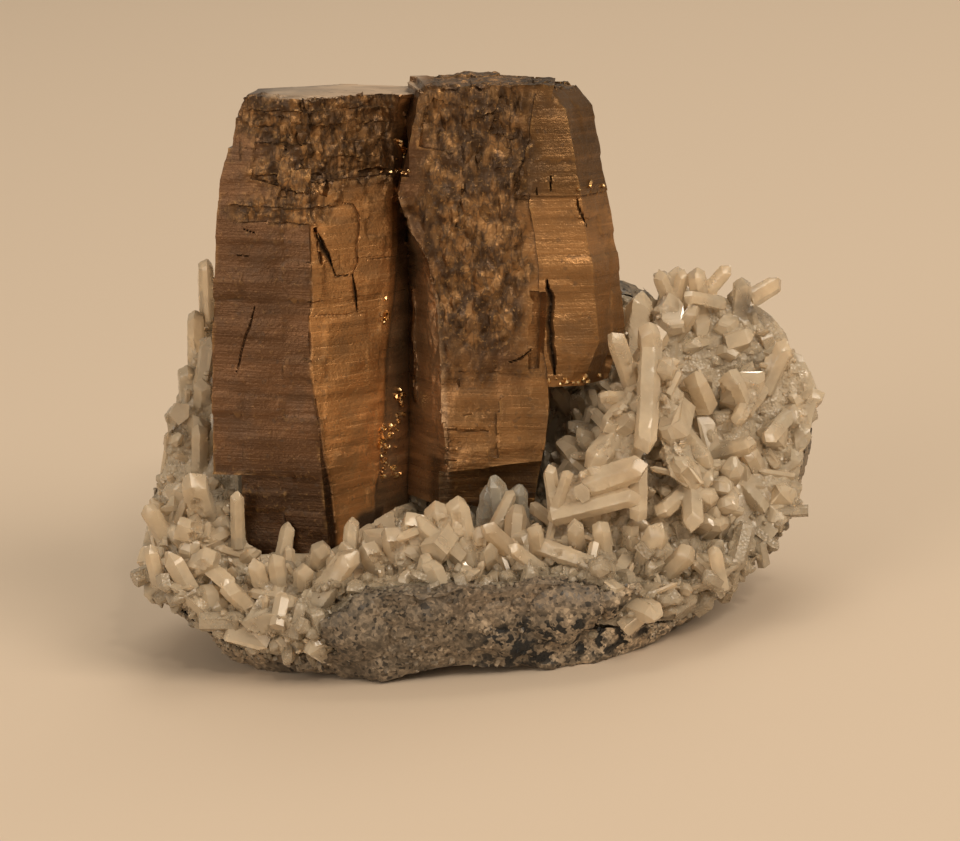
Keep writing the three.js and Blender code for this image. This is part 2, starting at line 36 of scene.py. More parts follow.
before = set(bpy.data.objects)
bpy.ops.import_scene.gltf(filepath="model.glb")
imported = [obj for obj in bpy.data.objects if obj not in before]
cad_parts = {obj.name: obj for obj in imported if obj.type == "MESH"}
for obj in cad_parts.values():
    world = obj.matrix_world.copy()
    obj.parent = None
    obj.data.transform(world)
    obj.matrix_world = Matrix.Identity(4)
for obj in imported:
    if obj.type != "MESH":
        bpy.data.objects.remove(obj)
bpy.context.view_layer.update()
bpy.ops.object.select_all(action="DESELECT")


# Small tools for working on one piece at a time

def pick(piece):
    bpy.ops.object.select_all(action="DESELECT")
    piece.select_set(True)
    bpy.context.view_layer.objects.active = piece


def copyOfNode(node, name):
    piece = bpy.data.objects.new(name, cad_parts[node].data.copy())
    bpy.context.collection.objects.link(piece)
    piece.data.materials.clear()
    pick(piece)
    bpy.ops.object.mode_set(mode="EDIT")
    bpy.ops.mesh.select_all(action="SELECT")
    bpy.ops.mesh.remove_doubles(threshold=mergeReach)
    bpy.ops.object.mode_set(mode="OBJECT")
    if piece.data.has_custom_normals:
        bpy.ops.mesh.customdata_custom_splitnormals_clear()
    return piece


def remesh(piece, detail):
    # even faces that keep the sharp edges
    pick(piece)
    modifier = piece.modifiers.new("remesh", "REMESH")
    modifier.mode = "SHARP"
    modifier.octree_depth = detail["depth"]
    modifier.scale = detail["scale"]
    modifier.use_remove_disconnected = True
    bpy.ops.object.modifier_apply(modifier="remesh")


def thin(piece):
    # fewer triangles where the surface is flat
    count = sum(len(face.vertices) - 2 for face in piece.data.polygons)
    pick(piece)
    modifier = piece.modifiers.new("thin", "DECIMATE")
    modifier.ratio = min(1.0, mostTriangles / count)
    bpy.ops.object.modifier_apply(modifier="thin")
    bpy.ops.object.shade_smooth_by_angle(angle=sharpAngle)
    print("thinned", piece.name, "from", count, "triangles")


def vectorsOf(items, field):
    flat = np.zeros(len(items) * 3, np.float32)
    items.foreach_get(field, flat)
    return flat.reshape(-1, 3).astype(float)


def pointsOf(piece):
    return vectorsOf(piece.data.vertices, "co")


def normalsOf(piece):
    return vectorsOf(piece.data.vertex_normals, "vector")


def movePoints(piece, points):
    piece.data.vertices.foreach_set("co", points.ravel())
    piece.data.update()


def surfaceTree(piece):
    points = [v.co for v in piece.data.vertices]
    return BVHTree.FromPolygons(points, [face.vertices for face in piece.data.polygons])


def paintMask(piece, name, weights):
    attribute = piece.data.attributes.new(name + "Mask", "FLOAT", "POINT")
    attribute.data.foreach_set("value", weights.astype(np.float32))


def weigh(piece, name, weights):
    # a vertex group for the modifiers and an attribute for the material
    group = piece.vertex_groups.new(name=name)
    for i in np.nonzero(weights > leastWeight)[0]:
        group.add([int(i)], float(weights[i]), "REPLACE")
    paintMask(piece, name, weights)


def aroundMean(piece, values):
    # mean of each point's neighbours
    ends = np.zeros(len(piece.data.edges) * 2, np.int32)
    piece.data.edges.foreach_get("vertices", ends)
    first, second = ends.reshape(-1, 2).T
    total, count = np.zeros_like(values), np.zeros(len(values))
    for a, b in ((first, second), (second, first)):
        np.add.at(total, a, values[b])
        np.add.at(count, a, 1)
    return (total.T / np.maximum(count, 1)).T


def edgeBends(piece):
    # how far each point stands out from its neighbours, in millimetres
    points = pointsOf(piece)
    return ((points - aroundMean(piece, points)) * normalsOf(piece)).sum(1) * toMm


def roughen(piece, layer, turn=Matrix.Identity(4)):
    # one displacement: kind of noise, its size along each axis, how far it moves the surface
    texture = bpy.data.textures.new("relief", "CLOUDS")
    texture.noise_basis = layer.get("basis", "IMPROVED_PERLIN")
    texture.noise_scale = 1.0
    texture.noise_depth = layer.get("depth", 1)
    bpy.ops.object.empty_add()
    guide = bpy.context.object
    guide.matrix_world = turn @ Matrix.Diagonal((*layer["size"], 1))
    bpy.context.view_layer.update()
    pick(piece)
    modifier = piece.modifiers.new("relief", "DISPLACE")
    modifier.texture = texture
    modifier.texture_coords = "OBJECT"
    modifier.texture_coords_object = guide
    modifier.strength = layer["strength"]
    modifier.mid_level = layer.get("middle", 0.5)
    modifier.vertex_group = layer.get("group", "")
    bpy.ops.object.modifier_apply(modifier="relief")
    bpy.data.objects.remove(guide)
    bpy.data.textures.remove(texture)


def above(span, value):
    # 0 before the span, 1 after it
    t = np.clip((value - span[0]) / (span[1] - span[0]), 0.0, 1.0)
    return t * t * (3 - 2 * t)


def below(span, value):
    return 1 - above(span, value)


def within(span, value):
    # 1 between the two ends, which the third number softens
    low, high, soft = span
    return above((low - soft, low + soft), value) * below((high - soft, high + soft), value)


# Node tools

def addNode(tree, kind, inputs=None, **settings):
    node = tree.nodes.new(kind)
    for key, value in settings.items():
        setattr(node, key, value)
    for key, value in (inputs or {}).items():
        if hasattr(value, "is_output"):
            tree.links.new(value, node.inputs[key])
        else:
            node.inputs[key].default_value = value
    return node


def newGroup(name, inputs, outputs):
    tree = bpy.data.node_groups.new(name, "ShaderNodeTree")
    tree.interface.new_socket(name="Vector", in_out="INPUT", socket_type="NodeSocketVector")
    for label, value in inputs.items():
        socket = tree.interface.new_socket(name=label, in_out="INPUT", socket_type="NodeSocketFloat")
        socket.default_value = value
    for label in outputs:
        tree.interface.new_socket(name=label, in_out="OUTPUT", socket_type="NodeSocketFloat")
    return tree, addNode(tree, "NodeGroupInput").outputs, addNode(tree, "NodeGroupOutput").inputs


def stainGroup():
    # cloudy patches with soft borders
    tree, given, result = newGroup(
        "cloudyPatches", {"Scale": 60.0, "Low": 0.45, "High": 0.65, "Detail": 2.0}, ("Mask", "Cloud"))
    cloud = addNode(tree, "ShaderNodeTexNoise", {
        "Vector": given["Vector"], "Scale": given["Scale"], "Detail": given["Detail"], "Roughness": 0.6})
    mask = addNode(tree, "ShaderNodeMapRange", {
        "Value": cloud.outputs["Fac"], "From Min": given["Low"], "From Max": given["High"]})
    tree.links.new(mask.outputs["Result"], result["Mask"])
    tree.links.new(cloud.outputs["Fac"], result["Cloud"])
    return tree


def speckGroup():
    # dark grains, crowded in some places and missing in others
    tree, given, result = newGroup(
        "darkGrains", {"Grain": 500.0, "Crowd": 60.0, "Share": 0.3}, ("Mask", "Tone", "Relief"))
    grain = addNode(tree, "ShaderNodeTexVoronoi", {
        "Vector": given["Vector"], "Scale": given["Grain"], "Randomness": 1.0})
    crowd = addNode(tree, "ShaderNodeTexNoise", {
        "Vector": given["Vector"], "Scale": given["Crowd"], "Detail": 3.0})
    pale = addNode(tree, "ShaderNodeSeparateColor", {"Color": grain.outputs["Color"]})
    spread = mapValue(tree, crowd.outputs["Fac"], 0.35, 0.7, 0.0, 2.0)
    share = combine(tree, "MULTIPLY", spread, given["Share"])
    tree.links.new(combine(tree, "LESS_THAN", pale.outputs["Red"], share), result["Mask"])
    tree.links.new(pale.outputs["Green"], result["Tone"])
    tree.links.new(grain.outputs["Distance"], result["Relief"])
    return tree


def lineGroup():
    # fine lines that run around the crystal, and thin plates with crisp borders
    tree, given, result = newGroup("growthLines", {"Spacing": 900.0, "Length": 30.0}, ("Height", "Plate"))
    parts = addNode(tree, "ShaderNodeSeparateXYZ", {"Vector": given["Vector"]}).outputs
    stretched = addNode(tree, "ShaderNodeCombineXYZ", {
        axis: combine(tree, "MULTIPLY", parts[axis], given[rate])
        for axis, rate in (("X", "Length"), ("Y", "Length"), ("Z", "Spacing"))}).outputs["Vector"]
    lines = addNode(tree, "ShaderNodeTexNoise", {
        "Vector": stretched, "Scale": 1.0, "Detail": 3.0, "Roughness": 0.65})
    plates = addNode(tree, "ShaderNodeTexVoronoi", {
        "Vector": stretched, "Scale": 1.0, "Randomness": 0.9}, distance="CHEBYCHEV")
    plate = addNode(tree, "ShaderNodeSeparateColor", {"Color": plates.outputs["Color"]})
    tree.links.new(lines.outputs["Fac"], result["Height"])
    tree.links.new(plate.outputs["Red"], result["Plate"])
    return tree


def shardGroup():
    # small broken plates of uneven tone with thin dark gaps between them
    tree, given, result = newGroup(
        "brokenPlates", {"Scale": 250.0, "Width": 0.08, "Bend": 0.004}, ("Gap", "Tone"))
    sway = addNode(tree, "ShaderNodeTexNoise", {
        "Vector": given["Vector"], "Scale": given["Scale"], "Detail": 2.0})
    level = addNode(tree, "ShaderNodeVectorMath", {
        0: sway.outputs["Color"], 1: (0.5, 0.5, 0.5)}, operation="SUBTRACT")
    shift = addNode(tree, "ShaderNodeVectorMath", {
        0: level.outputs["Vector"], "Scale": given["Bend"]}, operation="SCALE")
    bent = addNode(tree, "ShaderNodeVectorMath", {
        0: given["Vector"], 1: shift.outputs["Vector"]}, operation="ADD")
    plates = addNode(tree, "ShaderNodeTexVoronoi", {
        "Vector": bent.outputs["Vector"], "Scale": given["Scale"]})
    gaps = addNode(tree, "ShaderNodeTexVoronoi", {
        "Vector": bent.outputs["Vector"], "Scale": given["Scale"]}, feature="DISTANCE_TO_EDGE")
    gap = addNode(tree, "ShaderNodeMapRange", {
        "Value": gaps.outputs["Distance"], "From Min": 0.0, "From Max": given["Width"],
        "To Min": 1.0, "To Max": 0.0})
    tone = addNode(tree, "ShaderNodeSeparateColor", {"Color": plates.outputs["Color"]})
    tree.links.new(gap.outputs["Result"], result["Gap"])
    tree.links.new(tone.outputs["Red"], result["Tone"])
    return tree


def newMaterial(name, plain):
    material = bpy.data.materials.new(name)
    material.use_nodes = True
    tree = material.node_tree
    shader = tree.nodes["Principled BSDF"]
    for key, value in plain.items():
        shader.inputs[key].default_value = value
    place = addNode(tree, "ShaderNodeTexCoord")
    return material, tree, shader, place.outputs["Object"]


def maskNodes(tree, names):
    return {name: addNode(tree, "ShaderNodeAttribute", attribute_name=name + "Mask").outputs["Fac"]
            for name in names}


def blendColors(tree, factor, first, second, mode="MIX"):
    node = addNode(tree, "ShaderNodeMix", {0: factor, 6: first, 7: second}, data_type="RGBA", blend_type=mode)
    return node.outputs[2]


def mapValue(tree, value, low, high, toLow, toHigh):
    node = addNode(tree, "ShaderNodeMapRange", {
        "Value": value, "From Min": low, "From Max": high, "To Min": toLow, "To Max": toHigh})
    return node.outputs["Result"]


def combine(tree, operation, first, second):
    return addNode(tree, "ShaderNodeMath", {0: first, 1: second}, operation=operation).outputs["Value"]


def bumpFrom(tree, shader, height, bump):
    node = addNode(tree, "ShaderNodeBump", {
        "Height": height, "Strength": bump["strength"], "Distance": bump["distance"]})
    tree.links.new(node.outputs["Normal"], shader.inputs["Normal"])


groups = {"patches": stainGroup(), "grains": speckGroup(), "lines": lineGroup(), "shards": shardGroup()}


def useGroup(tree, name, place, values):
    return addNode(tree, "ShaderNodeGroup", {"Vector": place, **values}, node_tree=groups[name]).outputs


# Camera, light and floor

photoView = {
    "target": (0.00107, 0.00009, 0.066),
    "distance": 1.132,
    "elevation": 14.5,
    "roll": 5.6,
    "lens": 131.25,
    "sensor": 36.0,
}

lamps = [
    {"name": "key", "at": (2.4, -2.2, 2.7), "size": 2.0, "power": 86.0, "tint": (1.0, 0.87, 0.71)},
    {"name": "spark", "at": (0.9, -2.6, 2.4), "size": 0.25, "power": 14.0, "tint": (1.0, 0.87, 0.71)},
    {"name": "fill", "at": (-2.6, -2.5, 1.4), "size": 2.4, "power": 40.0, "tint": (1.0, 0.88, 0.74)},
    {"name": "top", "at": (0.4, 1.6, 3.2), "size": 2.0, "power": 30.0, "tint": (1.0, 0.89, 0.74)},
]

studio = {
    "floorSize": 9.0,
    "floorDrop": 0.0002,
    "floorColor": (0.69, 0.57, 0.45, 1.0),
    "floorRoughness": 0.8,
    "airColor": (0.9, 0.78, 0.62, 1.0),
    "airStrength": 0.42,
    "aim": (0.0, 0.0, 0.07),
}


def addCamera():
    tilt, roll = math.radians(photoView["elevation"]), math.radians(photoView["roll"])
    ahead = Vector((0, math.cos(tilt), -math.sin(tilt)))
    overhead = Vector((0, math.sin(tilt), math.cos(tilt)))
    right = Vector((math.cos(roll), 0, 0)) - math.sin(roll) * overhead
    up = Vector((math.sin(roll), 0, 0)) + math.cos(roll) * overhead
    bpy.ops.object.camera_add()
    camera = bpy.context.object
    camera.data.lens = photoView["lens"]
    camera.data.sensor_width = photoView["sensor"]
    placed = Matrix((right, up, -ahead)).transposed().to_4x4()
    placed.translation = Vector(photoView["target"]) - photoView["distance"] * ahead
    camera.matrix_world = placed
    bpy.context.scene.camera = camera


def addLamps():
    for lamp in lamps:
        aim = (Vector(studio["aim"]) - Vector(lamp["at"])).to_track_quat("-Z", "Y").to_euler()
        bpy.ops.object.light_add(type="AREA", location=lamp["at"], rotation=aim)
        light = bpy.context.object
        light.name = lamp["name"]
        light.data.size = lamp["size"]
        light.data.energy = lamp["power"]
        light.data.color = lamp["tint"]
    world = bpy.data.worlds.new("air")
    bpy.context.scene.world = world
    world.use_nodes = True
    air = world.node_tree.nodes["Background"]
    air.inputs["Color"].default_value = studio["airColor"]
    air.inputs["Strength"].default_value = studio["airStrength"]


def addFloor():
    bpy.ops.mesh.primitive_grid_add(x_subdivisions=2, y_subdivisions=2, size=studio["floorSize"],
                                    location=(0, 0, -studio["floorDrop"]))
    floor = bpy.context.object
    floor.name = "floor"
    bpy.ops.object.transform_apply(location=True)
    floor.data.materials.append(newMaterial("paleFloor", {
        "Roughness": studio["floorRoughness"], "Base Color": studio["floorColor"]})[0])


addCamera()
addLamps()
addFloor()
bpy.context.scene.view_settings.view_transform = "Standard"
print("camera, light and floor")


# Pyrrhotite: two bronze crystals with lines around them and a rough, fibrous middle face

pyrrhotite = {
    "detail": {"depth": 8, "scale": 0.62},
    "refine": {"rough": 0.3, "border": 1.6, "crack": 1.0, "frontCuts": 1, "crackCuts": 2},
    "seat": (-0.02593, -0.00991, 0.031),
    "leanBack": 4.5,
    "leanRight": 5.6,
    "seed": 5,
    "jag": {"step": 2.6, "wander": 0.4},
    "ridgeWidth": 1.1,
    "ridgeHeight": 0.0035,
    "besideDepth": 0.8,
    "recessDepth": 2.0,
    "crackEnd": 0.3,
    "relief": [
        {"size": (0.03, 0.03, 0.016), "strength": 0.0012, "depth": 2},
        {"size": (0.013, 0.02, 0.0062), "strength": 0.0006, "depth": 0,
         "basis": "CELL_NOISE", "group": "plates"},
        {"size": (0.05, 0.05, 0.0026), "strength": 0.0005, "group": "plates"},
        {"size": (0.01, 0.01, 0.005), "strength": 0.0018, "depth": 0,
         "basis": "CELL_NOISE", "group": "broken"},
        {"size": (0.009, 0.009, 0.006), "strength": 0.0018, "depth": 0,
         "basis": "VORONOI_F1", "group": "broken"},
        {"size": (0.004, 0.004, 0.003), "strength": 0.0009, "depth": 0,
         "basis": "VORONOI_F2_F1", "group": "broken"},
        {"size": (0.002, 0.002, 0.0018), "strength": 0.0007, "group": "broken"},
        {"size": (0.008, 0.008, 0.014), "strength": 0.0024, "depth": 0,
         "basis": "VORONOI_F1", "group": "fibrous"},
        {"size": (0.0035, 0.004, 0.007), "strength": 0.0015, "depth": 0,
         "basis": "VORONOI_F2_F1", "group": "fibrous"},
        {"size": (0.0018, 0.002, 0.003), "strength": 0.0006, "group": "fibrous"},
    ],
    # painted light and shade: the same bronze as a shaded copy for faces the light misses and a lit copy for
    # the bright faces
    "shadedSideColor": (0.125, 0.064, 0.032, 1.0),
    "litFaceColor": (0.4, 0.21, 0.085, 1.0),
    "roughColor": (0.25, 0.135, 0.056, 1.0),
    "tarnish": (0.06, 0.034, 0.018, 1.0),
    "gold": (0.62, 0.36, 0.13, 1.0),
    "glitter": (0.95, 0.72, 0.38, 1.0),
    # painted sheen: the flat top is painted lighter
    "paintedTopSheen": (0.5, 0.36, 0.24, 1.0),
    # painted bounce light in the shaded recess
    "paintedRecessLight": (0.5, 0.32, 0.18, 1.0),
    # painted shade in the cracks and the hollow at the foot
    "paintedCreviceShade": (0.045, 0.025, 0.013, 1.0),
    "lines": {"Spacing": 1700.0, "Length": 34.0},
    "bands": {"Spacing": 520.0, "Length": 30.0},
    "steps": {"Spacing": 130.0, "Length": 55.0},
    "upright": (1.0, 1.0, 0.5),
    "fibres": {"Scale": 260.0, "Low": 0.42, "High": 0.58, "Detail": 3.0},
    "shards": {"Scale": 330.0, "Width": 0.09, "Bend": 0.005},
    "broad": {"Scale": 26.0, "Low": 0.3, "High": 0.7},
    "stain": {"Scale": 85.0, "Low": 0.5, "High": 0.66, "Detail": 3.0},
    "fleck": {"Scale": 900.0, "Low": 0.6, "High": 0.7},
    "pits": {"Grain": 900.0, "Crowd": 50.0, "Share": 0.03},
    "glint": {"Scale": 600.0, "Low": 0.4, "High": 0.6},
    "bump": {"strength": 0.45, "distance": 0.0005},
}

# How strongly each effect shows, and how a value is turned into a tone: from low and high, to low and high
bronzeTones = {
    "rough": 0.92, "recess": 0.85, "groove": 0.6, "pit": 0.4, "gap": 0.75,
    "glossOnBright": 0.12, "ledgeHeight": 0.25, "chipHeight": 1.6,
    "shard": (0.0, 1.0, 0.65, 1.35),
    "band": (0.3, 0.7, 0.88, 1.1),
    "bandPlate": (0.0, 1.0, 0.86, 1.13),
    "stepPlate": (0.0, 1.0, 0.88, 1.1),
    "linesOnRough": (0.0, 1.0, 1.0, 0.2),
    "broad": (0.3, 0.7, 0.75, 1.25),
    "shade": (-1.6, 1.3, 1.86, 0.3),
    "stainOnRough": (0.0, 1.0, 0.35, 0.5),
    "fleckOnRough": (0.0, 1.0, 0.1, 0.3),
    # painted highlight along the convex edges
    "edgeHighlight": (0.4, 0.65, 0.0, 0.25),
    "metal": (0.0, 1.0, 0.88, 0.35),
    "gloss": (0.3, 0.7, 0.26, 0.48),
    "glossOnRough": (0.0, 1.0, 0.0, 0.08),
    "lineHeight": (0.0, 1.0, 0.7, 0.2),
    "glint": (0.3, 0.7, 0.3, 0.12),
}

# Places on the crystals are in millimetres of their leaning frame: across along x, back along y, up along z.
# Two numbers are a fade from the first to the second; three are a stretch and how soft its ends are.
bronzeZones = {
    "fibrousAcross": (5.0, 37.0, 4.0), "fibrousBack": (-2.0, 6.0), "fibrousUp": (40, 66),
    "brokenAcross": (-50, -20, 4.0), "brokenBack": (-6, 0), "brokenUp": (110, 150, 5.0),
    "crownAcross": (-30, -4, 2.0), "crownBack": (6, 9), "crownUp": (115, 118),
    "roofAcross": (5, 8), "roofLevel": (0.6, 0.8), "roofUp": (125, 130),
    "plateLevel": (0.5, 0.8), "besideEdge": (-0.4, 0.4), "besideLeft": (-50, -34),
    "ledgeEdge": (-0.4, 0.5), "ledgeEnd": (0, 7), "stepTop": (106, 110),
    "crackTaper": (0.0, 6.0), "crackShade": (0.15, 1.2),
    "hollowAcross": (-21, -4, 1.5), "hollowTop": (9, 12),
    "recessEdge": (-0.5, 0.5), "recessEnd": (-1.5, 1.0), "recessTop": (110, 114), "recessInner": (0.0, 4.0),
    "ridgeClear": (0.1, 0.5), "plateEdge": (-0.6, 0.6), "plateTop": (112, 117),
    "plateInner": (0.0, 2.0), "plateLow": (36, 62),
    "rightward": (-0.12, 0.3), "flankBright": (36, 75, 4.0), "flankFront": (-0.8, 0.2),
    "flankAcross": (36, 75, 3.0), "flankUp": (111, 115),
    "columnBright": (9, 50, 3.0), "columnAcross": (9, 42, 3.0), "columnLow": (36, 66),
    "footEdge": (-1.0, 1.0), "footTop": (18, 34),
    "underAcross": (5, 9), "underTop": (26, 28), "underBack": (-3, 0), "underFoot": (13, 15),
    "lensLeft": (-46, -42), "lensRight": (2, 6), "lensLevel": (0.75, 0.92), "lensUp": (136, 140),
    "edgeBend": (0.07, 0.26), "grooveBend": (0.05, 0.22),
}
frontBack, recessBack = 8, 20  # how far back the front and the recess reach
frontTurn, crackTurn, columnTurn = -0.1, -0.25, -0.5  # y of a normal that faces the front
# painted shade on each place, multiplied into the colour; a negative weight paints light instead
paintedShadeBy = {"foot": 0.9, "under": 1.3, "upper": 0.8, "flank": 0.34, "lowColumn": 0.4, "lowPlate": -1.5,
            "plate": -0.2, "recess": 0.3}
plateFade = 0.6

# Borders on the front: up and across
borders = {
    "plate": [(6, -22.8), (20, -24.1), (32, -26.4), (43, -27.7), (59, -30.6), (66, -29.9), (76, -30.9),
              (79, -29.6), (92, -30.0), (110, -30.6)],
    "recessLeft": [(14.6, -10.5), (29, -8.6), (43, -7.3), (58, -6.8), (66, -6.0), (78, -4.4), (95, -2.8),
                   (115, -2.8)],
    "recessRight": [(20, 14.0), (47, 12.5), (79, 9.5), (101, 2.0), (114, -2.0)],
    "ridge": [(44, 2.4), (50, 1.7), (57, 2.2), (66, 1.2), (73, 1.7), (80, 1.2)],
}

# Cracks on the front: points across and up, width and depth
cracks = [
    {"line": [(-28.9, 103.3), (-26.3, 97), (-23.7, 91.4)], "width": 1.2, "depth": 2.4},
    {"line": [(-23.7, 91.4), (-22.5, 87.8), (-17.3, 87.8)], "width": 0.5, "depth": 1.2},
    {"line": [(-17.3, 87.8), (-16.7, 83.2), (-16, 76)], "width": 0.7, "depth": 1.8},
    {"line": [(-21, 111), (-17, 110), (-15.4, 106.7), (-15.7, 91.4), (-17.3, 87.8)],
     "width": 0.45, "depth": 0.8},
    {"line": [(-12.8, 92), (-1.5, 91.4)], "width": 0.4, "depth": 0.8},
    {"line": [(-48, 78.3), (-49.7, 71.8), (-51.6, 66.9), (-54.2, 57)], "width": 0.4, "depth": 0.7},
    {"line": [(-51.3, 102.8), (-47.8, 101.8)], "width": 0.45, "depth": 0.8},
    {"line": [(-54.2, 94.6), (-49.4, 94.3)], "width": 0.45, "depth": 0.7},
    {"line": [(-30, 76), (-21, 75.2), (-14, 76)], "width": 0.4, "depth": 0.6},
    {"line": [(44.3, 86), (45.6, 78), (45, 72), (46.2, 62), (46.8, 56)], "width": 1.3, "depth": 2.2},
    {"line": [(32.2, 59.2), (36, 60.6), (39.6, 63.6)], "width": 0.5, "depth": 1.2},
    {"line": [(53.5, 112.6), (55, 107), (56.8, 102.8)], "width": 0.55, "depth": 1.4},
    {"line": [(40.8, 116.9), (40.9, 113.4)], "width": 0.5, "depth": 1.2},
    {"line": [(45.4, 119.8), (45.2, 114.2)], "width": 0.6, "depth": 1.4},
]

# Bright grains on the front: across, up, reach and number
goldSpots = [
    (-6.5, 28, (2.6, 9), 60),
    (-3, 40, (1.5, 8), 16),
    (-3.5, 119, (4.5, 1.2), 14),
    (-2, 126, (1.5, 4), 10),
    (55, 54, (10, 1.0), 18),
    (56, 115.5, (8, 0.8), 8),
    (-8, 74, (1.2, 6), 8),
]
goldFrom = -60  # the grains are let fall on the front from here


def leaningFrame():
    turn = Matrix.Rotation(math.radians(-pyrrhotite["leanBack"]), 4, "X")
    turn = turn @ Matrix.Rotation(math.radians(pyrrhotite["leanRight"]), 4, "Y")
    turn.translation = Vector(pyrrhotite["seat"])
    return turn


def onCrystal(points):
    back = np.array(leaningFrame().inverted())
    x, y, z = (points @ back[:3, :3].T + back[:3, 3]).T * toMm
    return x, y, z


def lineDistance(x, z, line):
    nearest = np.full(len(x), 1e9)
    for (ax, az), (bx, bz) in zip(line, line[1:]):
        t = np.clip(((x - ax) * (bx - ax) + (z - az) * (bz - az)) / ((bx - ax) ** 2 + (bz - az) ** 2), 0, 1)
        nearest = np.minimum(nearest, np.hypot(x - ax - t * (bx - ax), z - az - t * (bz - az)))
    return nearest


def jagged(line, chance):
    points = [line[0]]
    for (ax, az), (bx, bz) in zip(line, line[1:]):
        steps = max(1, int(math.hypot(bx - ax, bz - az) / pyrrhotite["jag"]["step"]))
        for i in range(1, steps + 1):
            wander = pyrrhotite["jag"]["wander"] if i < steps else 0.0
            points.append((ax + (bx - ax) * i / steps + wander * chance.uniform(-1, 1),
                           az + (bz - az) * i / steps + wander * chance.uniform(-1, 1)))
    return points


def borderPath(name):
    return [(across, up) for up, across in borders[name]]


def borderAt(name, z):
    ups, acrosses = zip(*borders[name])
    return np.interp(z, ups, acrosses)


def onRidge(x, z):
    # a thin bright blade that stands in the recess
    return 1 - np.clip(lineDistance(x, z, borderPath("ridge")) / pyrrhotite["ridgeWidth"], 0, 1)


def roughZones(points, side):
    # the fibrous face of the right crystal, and the broken crown of the left one with the right one's roof
    zones = bronzeZones
    x, y, z = onCrystal(points)
    wave = 2.5 * np.sin(0.19 * z) + 1.8 * np.sin(0.47 * z + 1.0) + 1.5 * np.sin(0.31 * x)  # uneven borders
    fibrous = within(zones["fibrousAcross"], x + wave) * below(zones["fibrousBack"], y)
    fibrous = fibrous * above(zones["fibrousUp"], z + 0.5 * (20 - x) + 2 * wave)
    broken = within(zones["brokenAcross"], x + wave) * below(zones["brokenBack"], y)
    broken = broken * within(zones["brokenUp"], z + 2 * wave)
    crown = within(zones["crownAcross"], x) * below(zones["crownBack"], y)
    crown = crown * above(zones["crownUp"], z) * (side[:, 1] < frontTurn)
    roof = above(zones["roofAcross"], x) * above(zones["roofLevel"], side[:, 2]) * above(zones["roofUp"], z)
    return fibrous, np.maximum(np.maximum(broken, crown), roof)


def crystalZones(piece):
    side = normalsOf(piece)
    fibrous, broken = roughZones(pointsOf(piece), side)
    plates = np.clip(1 - fibrous - broken, 0, 1) * below(bronzeZones["plateLevel"], np.abs(side[:, 2]))
    for name, weights in (("fibrous", fibrous), ("broken", broken), ("plates", plates)):
        weigh(piece, name, weights)


def refine(piece, chosen, cuts):
    pick(piece)
    bpy.ops.object.mode_set(mode="EDIT")
    bpy.ops.mesh.select_all(action="DESELECT")
    bpy.ops.object.mode_set(mode="OBJECT")
    piece.data.polygons.foreach_set("select", chosen)
    bpy.ops.object.mode_set(mode="EDIT")
    bpy.ops.mesh.select_mode(type="FACE")
    bpy.ops.mesh.subdivide(number_cuts=cuts)
    bpy.ops.object.mode_set(mode="OBJECT")


def refineFront(piece, paths):
    # smaller faces where the surface is rough, along the borders and at the cracks
    finer = pyrrhotite["refine"]
    centers = vectorsOf(piece.data.polygons, "center")
    fibrous, broken = roughZones(centers, vectorsOf(piece.data.polygons, "normal"))
    x, y, z = onCrystal(centers)
    chosen = np.maximum(fibrous, broken) > finer["rough"]
    for name in borders:
        chosen |= (lineDistance(x, z, borderPath(name)) < finer["border"]) & (y < frontBack)
    refine(piece, chosen, finer["frontCuts"])
    x, y, z = onCrystal(vectorsOf(piece.data.polygons, "center"))
    chosen = np.zeros(len(x), bool)
    for crack, path in zip(cracks, paths):
        chosen |= (lineDistance(x, z, path) < crack["width"] + finer["crack"]) & (y < frontBack)
    refine(piece, chosen, finer["crackCuts"])


def stepFaces(piece):
    # the bright plate stands proud of the face beside it and ends with a ledge at the recess
    zones = bronzeZones
    points, side = pointsOf(piece), normalsOf(piece)
    x, y, z = onCrystal(points)
    beside = below(zones["besideEdge"], x - borderAt("plate", z)) * above(zones["besideLeft"], x)
    recess = above(zones["ledgeEdge"], x - borderAt("recessLeft", z)) * below(zones["ledgeEnd"], x)
    back = pyrrhotite["besideDepth"] * beside + pyrrhotite["recessDepth"] * recess
    points[:, 1] += mm * back * below(zones["stepTop"], z) * (side[:, 1] < frontTurn)
    points[:, 1] -= pyrrhotite["ridgeHeight"] * onRidge(x, z) * (side[:, 1] < 0) * (y < recessBack)
    movePoints(piece, points)


def carveCracks(piece, paths):
    zones = bronzeZones
    points, side = pointsOf(piece), normalsOf(piece)
    x, y, z = onCrystal(points)
    deep = np.zeros(len(x))
    for crack, path in zip(cracks, paths):
        (ax, az), (bx, bz) = path[0], path[-1]
        ends = np.minimum(np.hypot(x - ax, z - az), np.hypot(x - bx, z - bz))
        taper = pyrrhotite["crackEnd"] + (1 - pyrrhotite["crackEnd"]) * above(zones["crackTaper"], ends)
        share = 1 - np.clip(lineDistance(x, z, path) / (crack["width"] * taper), 0, 1)
        deep = np.maximum(deep, share * crack["depth"] * (y < frontBack) * (side[:, 1] < crackTurn))
    points[:, 1] += mm * deep
    movePoints(piece, points)
    # painted shade: the carved cracks and a hollow at the foot of the left crystal are marked for the dark
    # crevice colour
    hollow = within(zones["hollowAcross"], x - 0.5 * z) * below(zones["hollowTop"], z) * (y < frontBack)
    paintMask(piece, "crack", np.maximum(above(zones["crackShade"], deep), hollow))


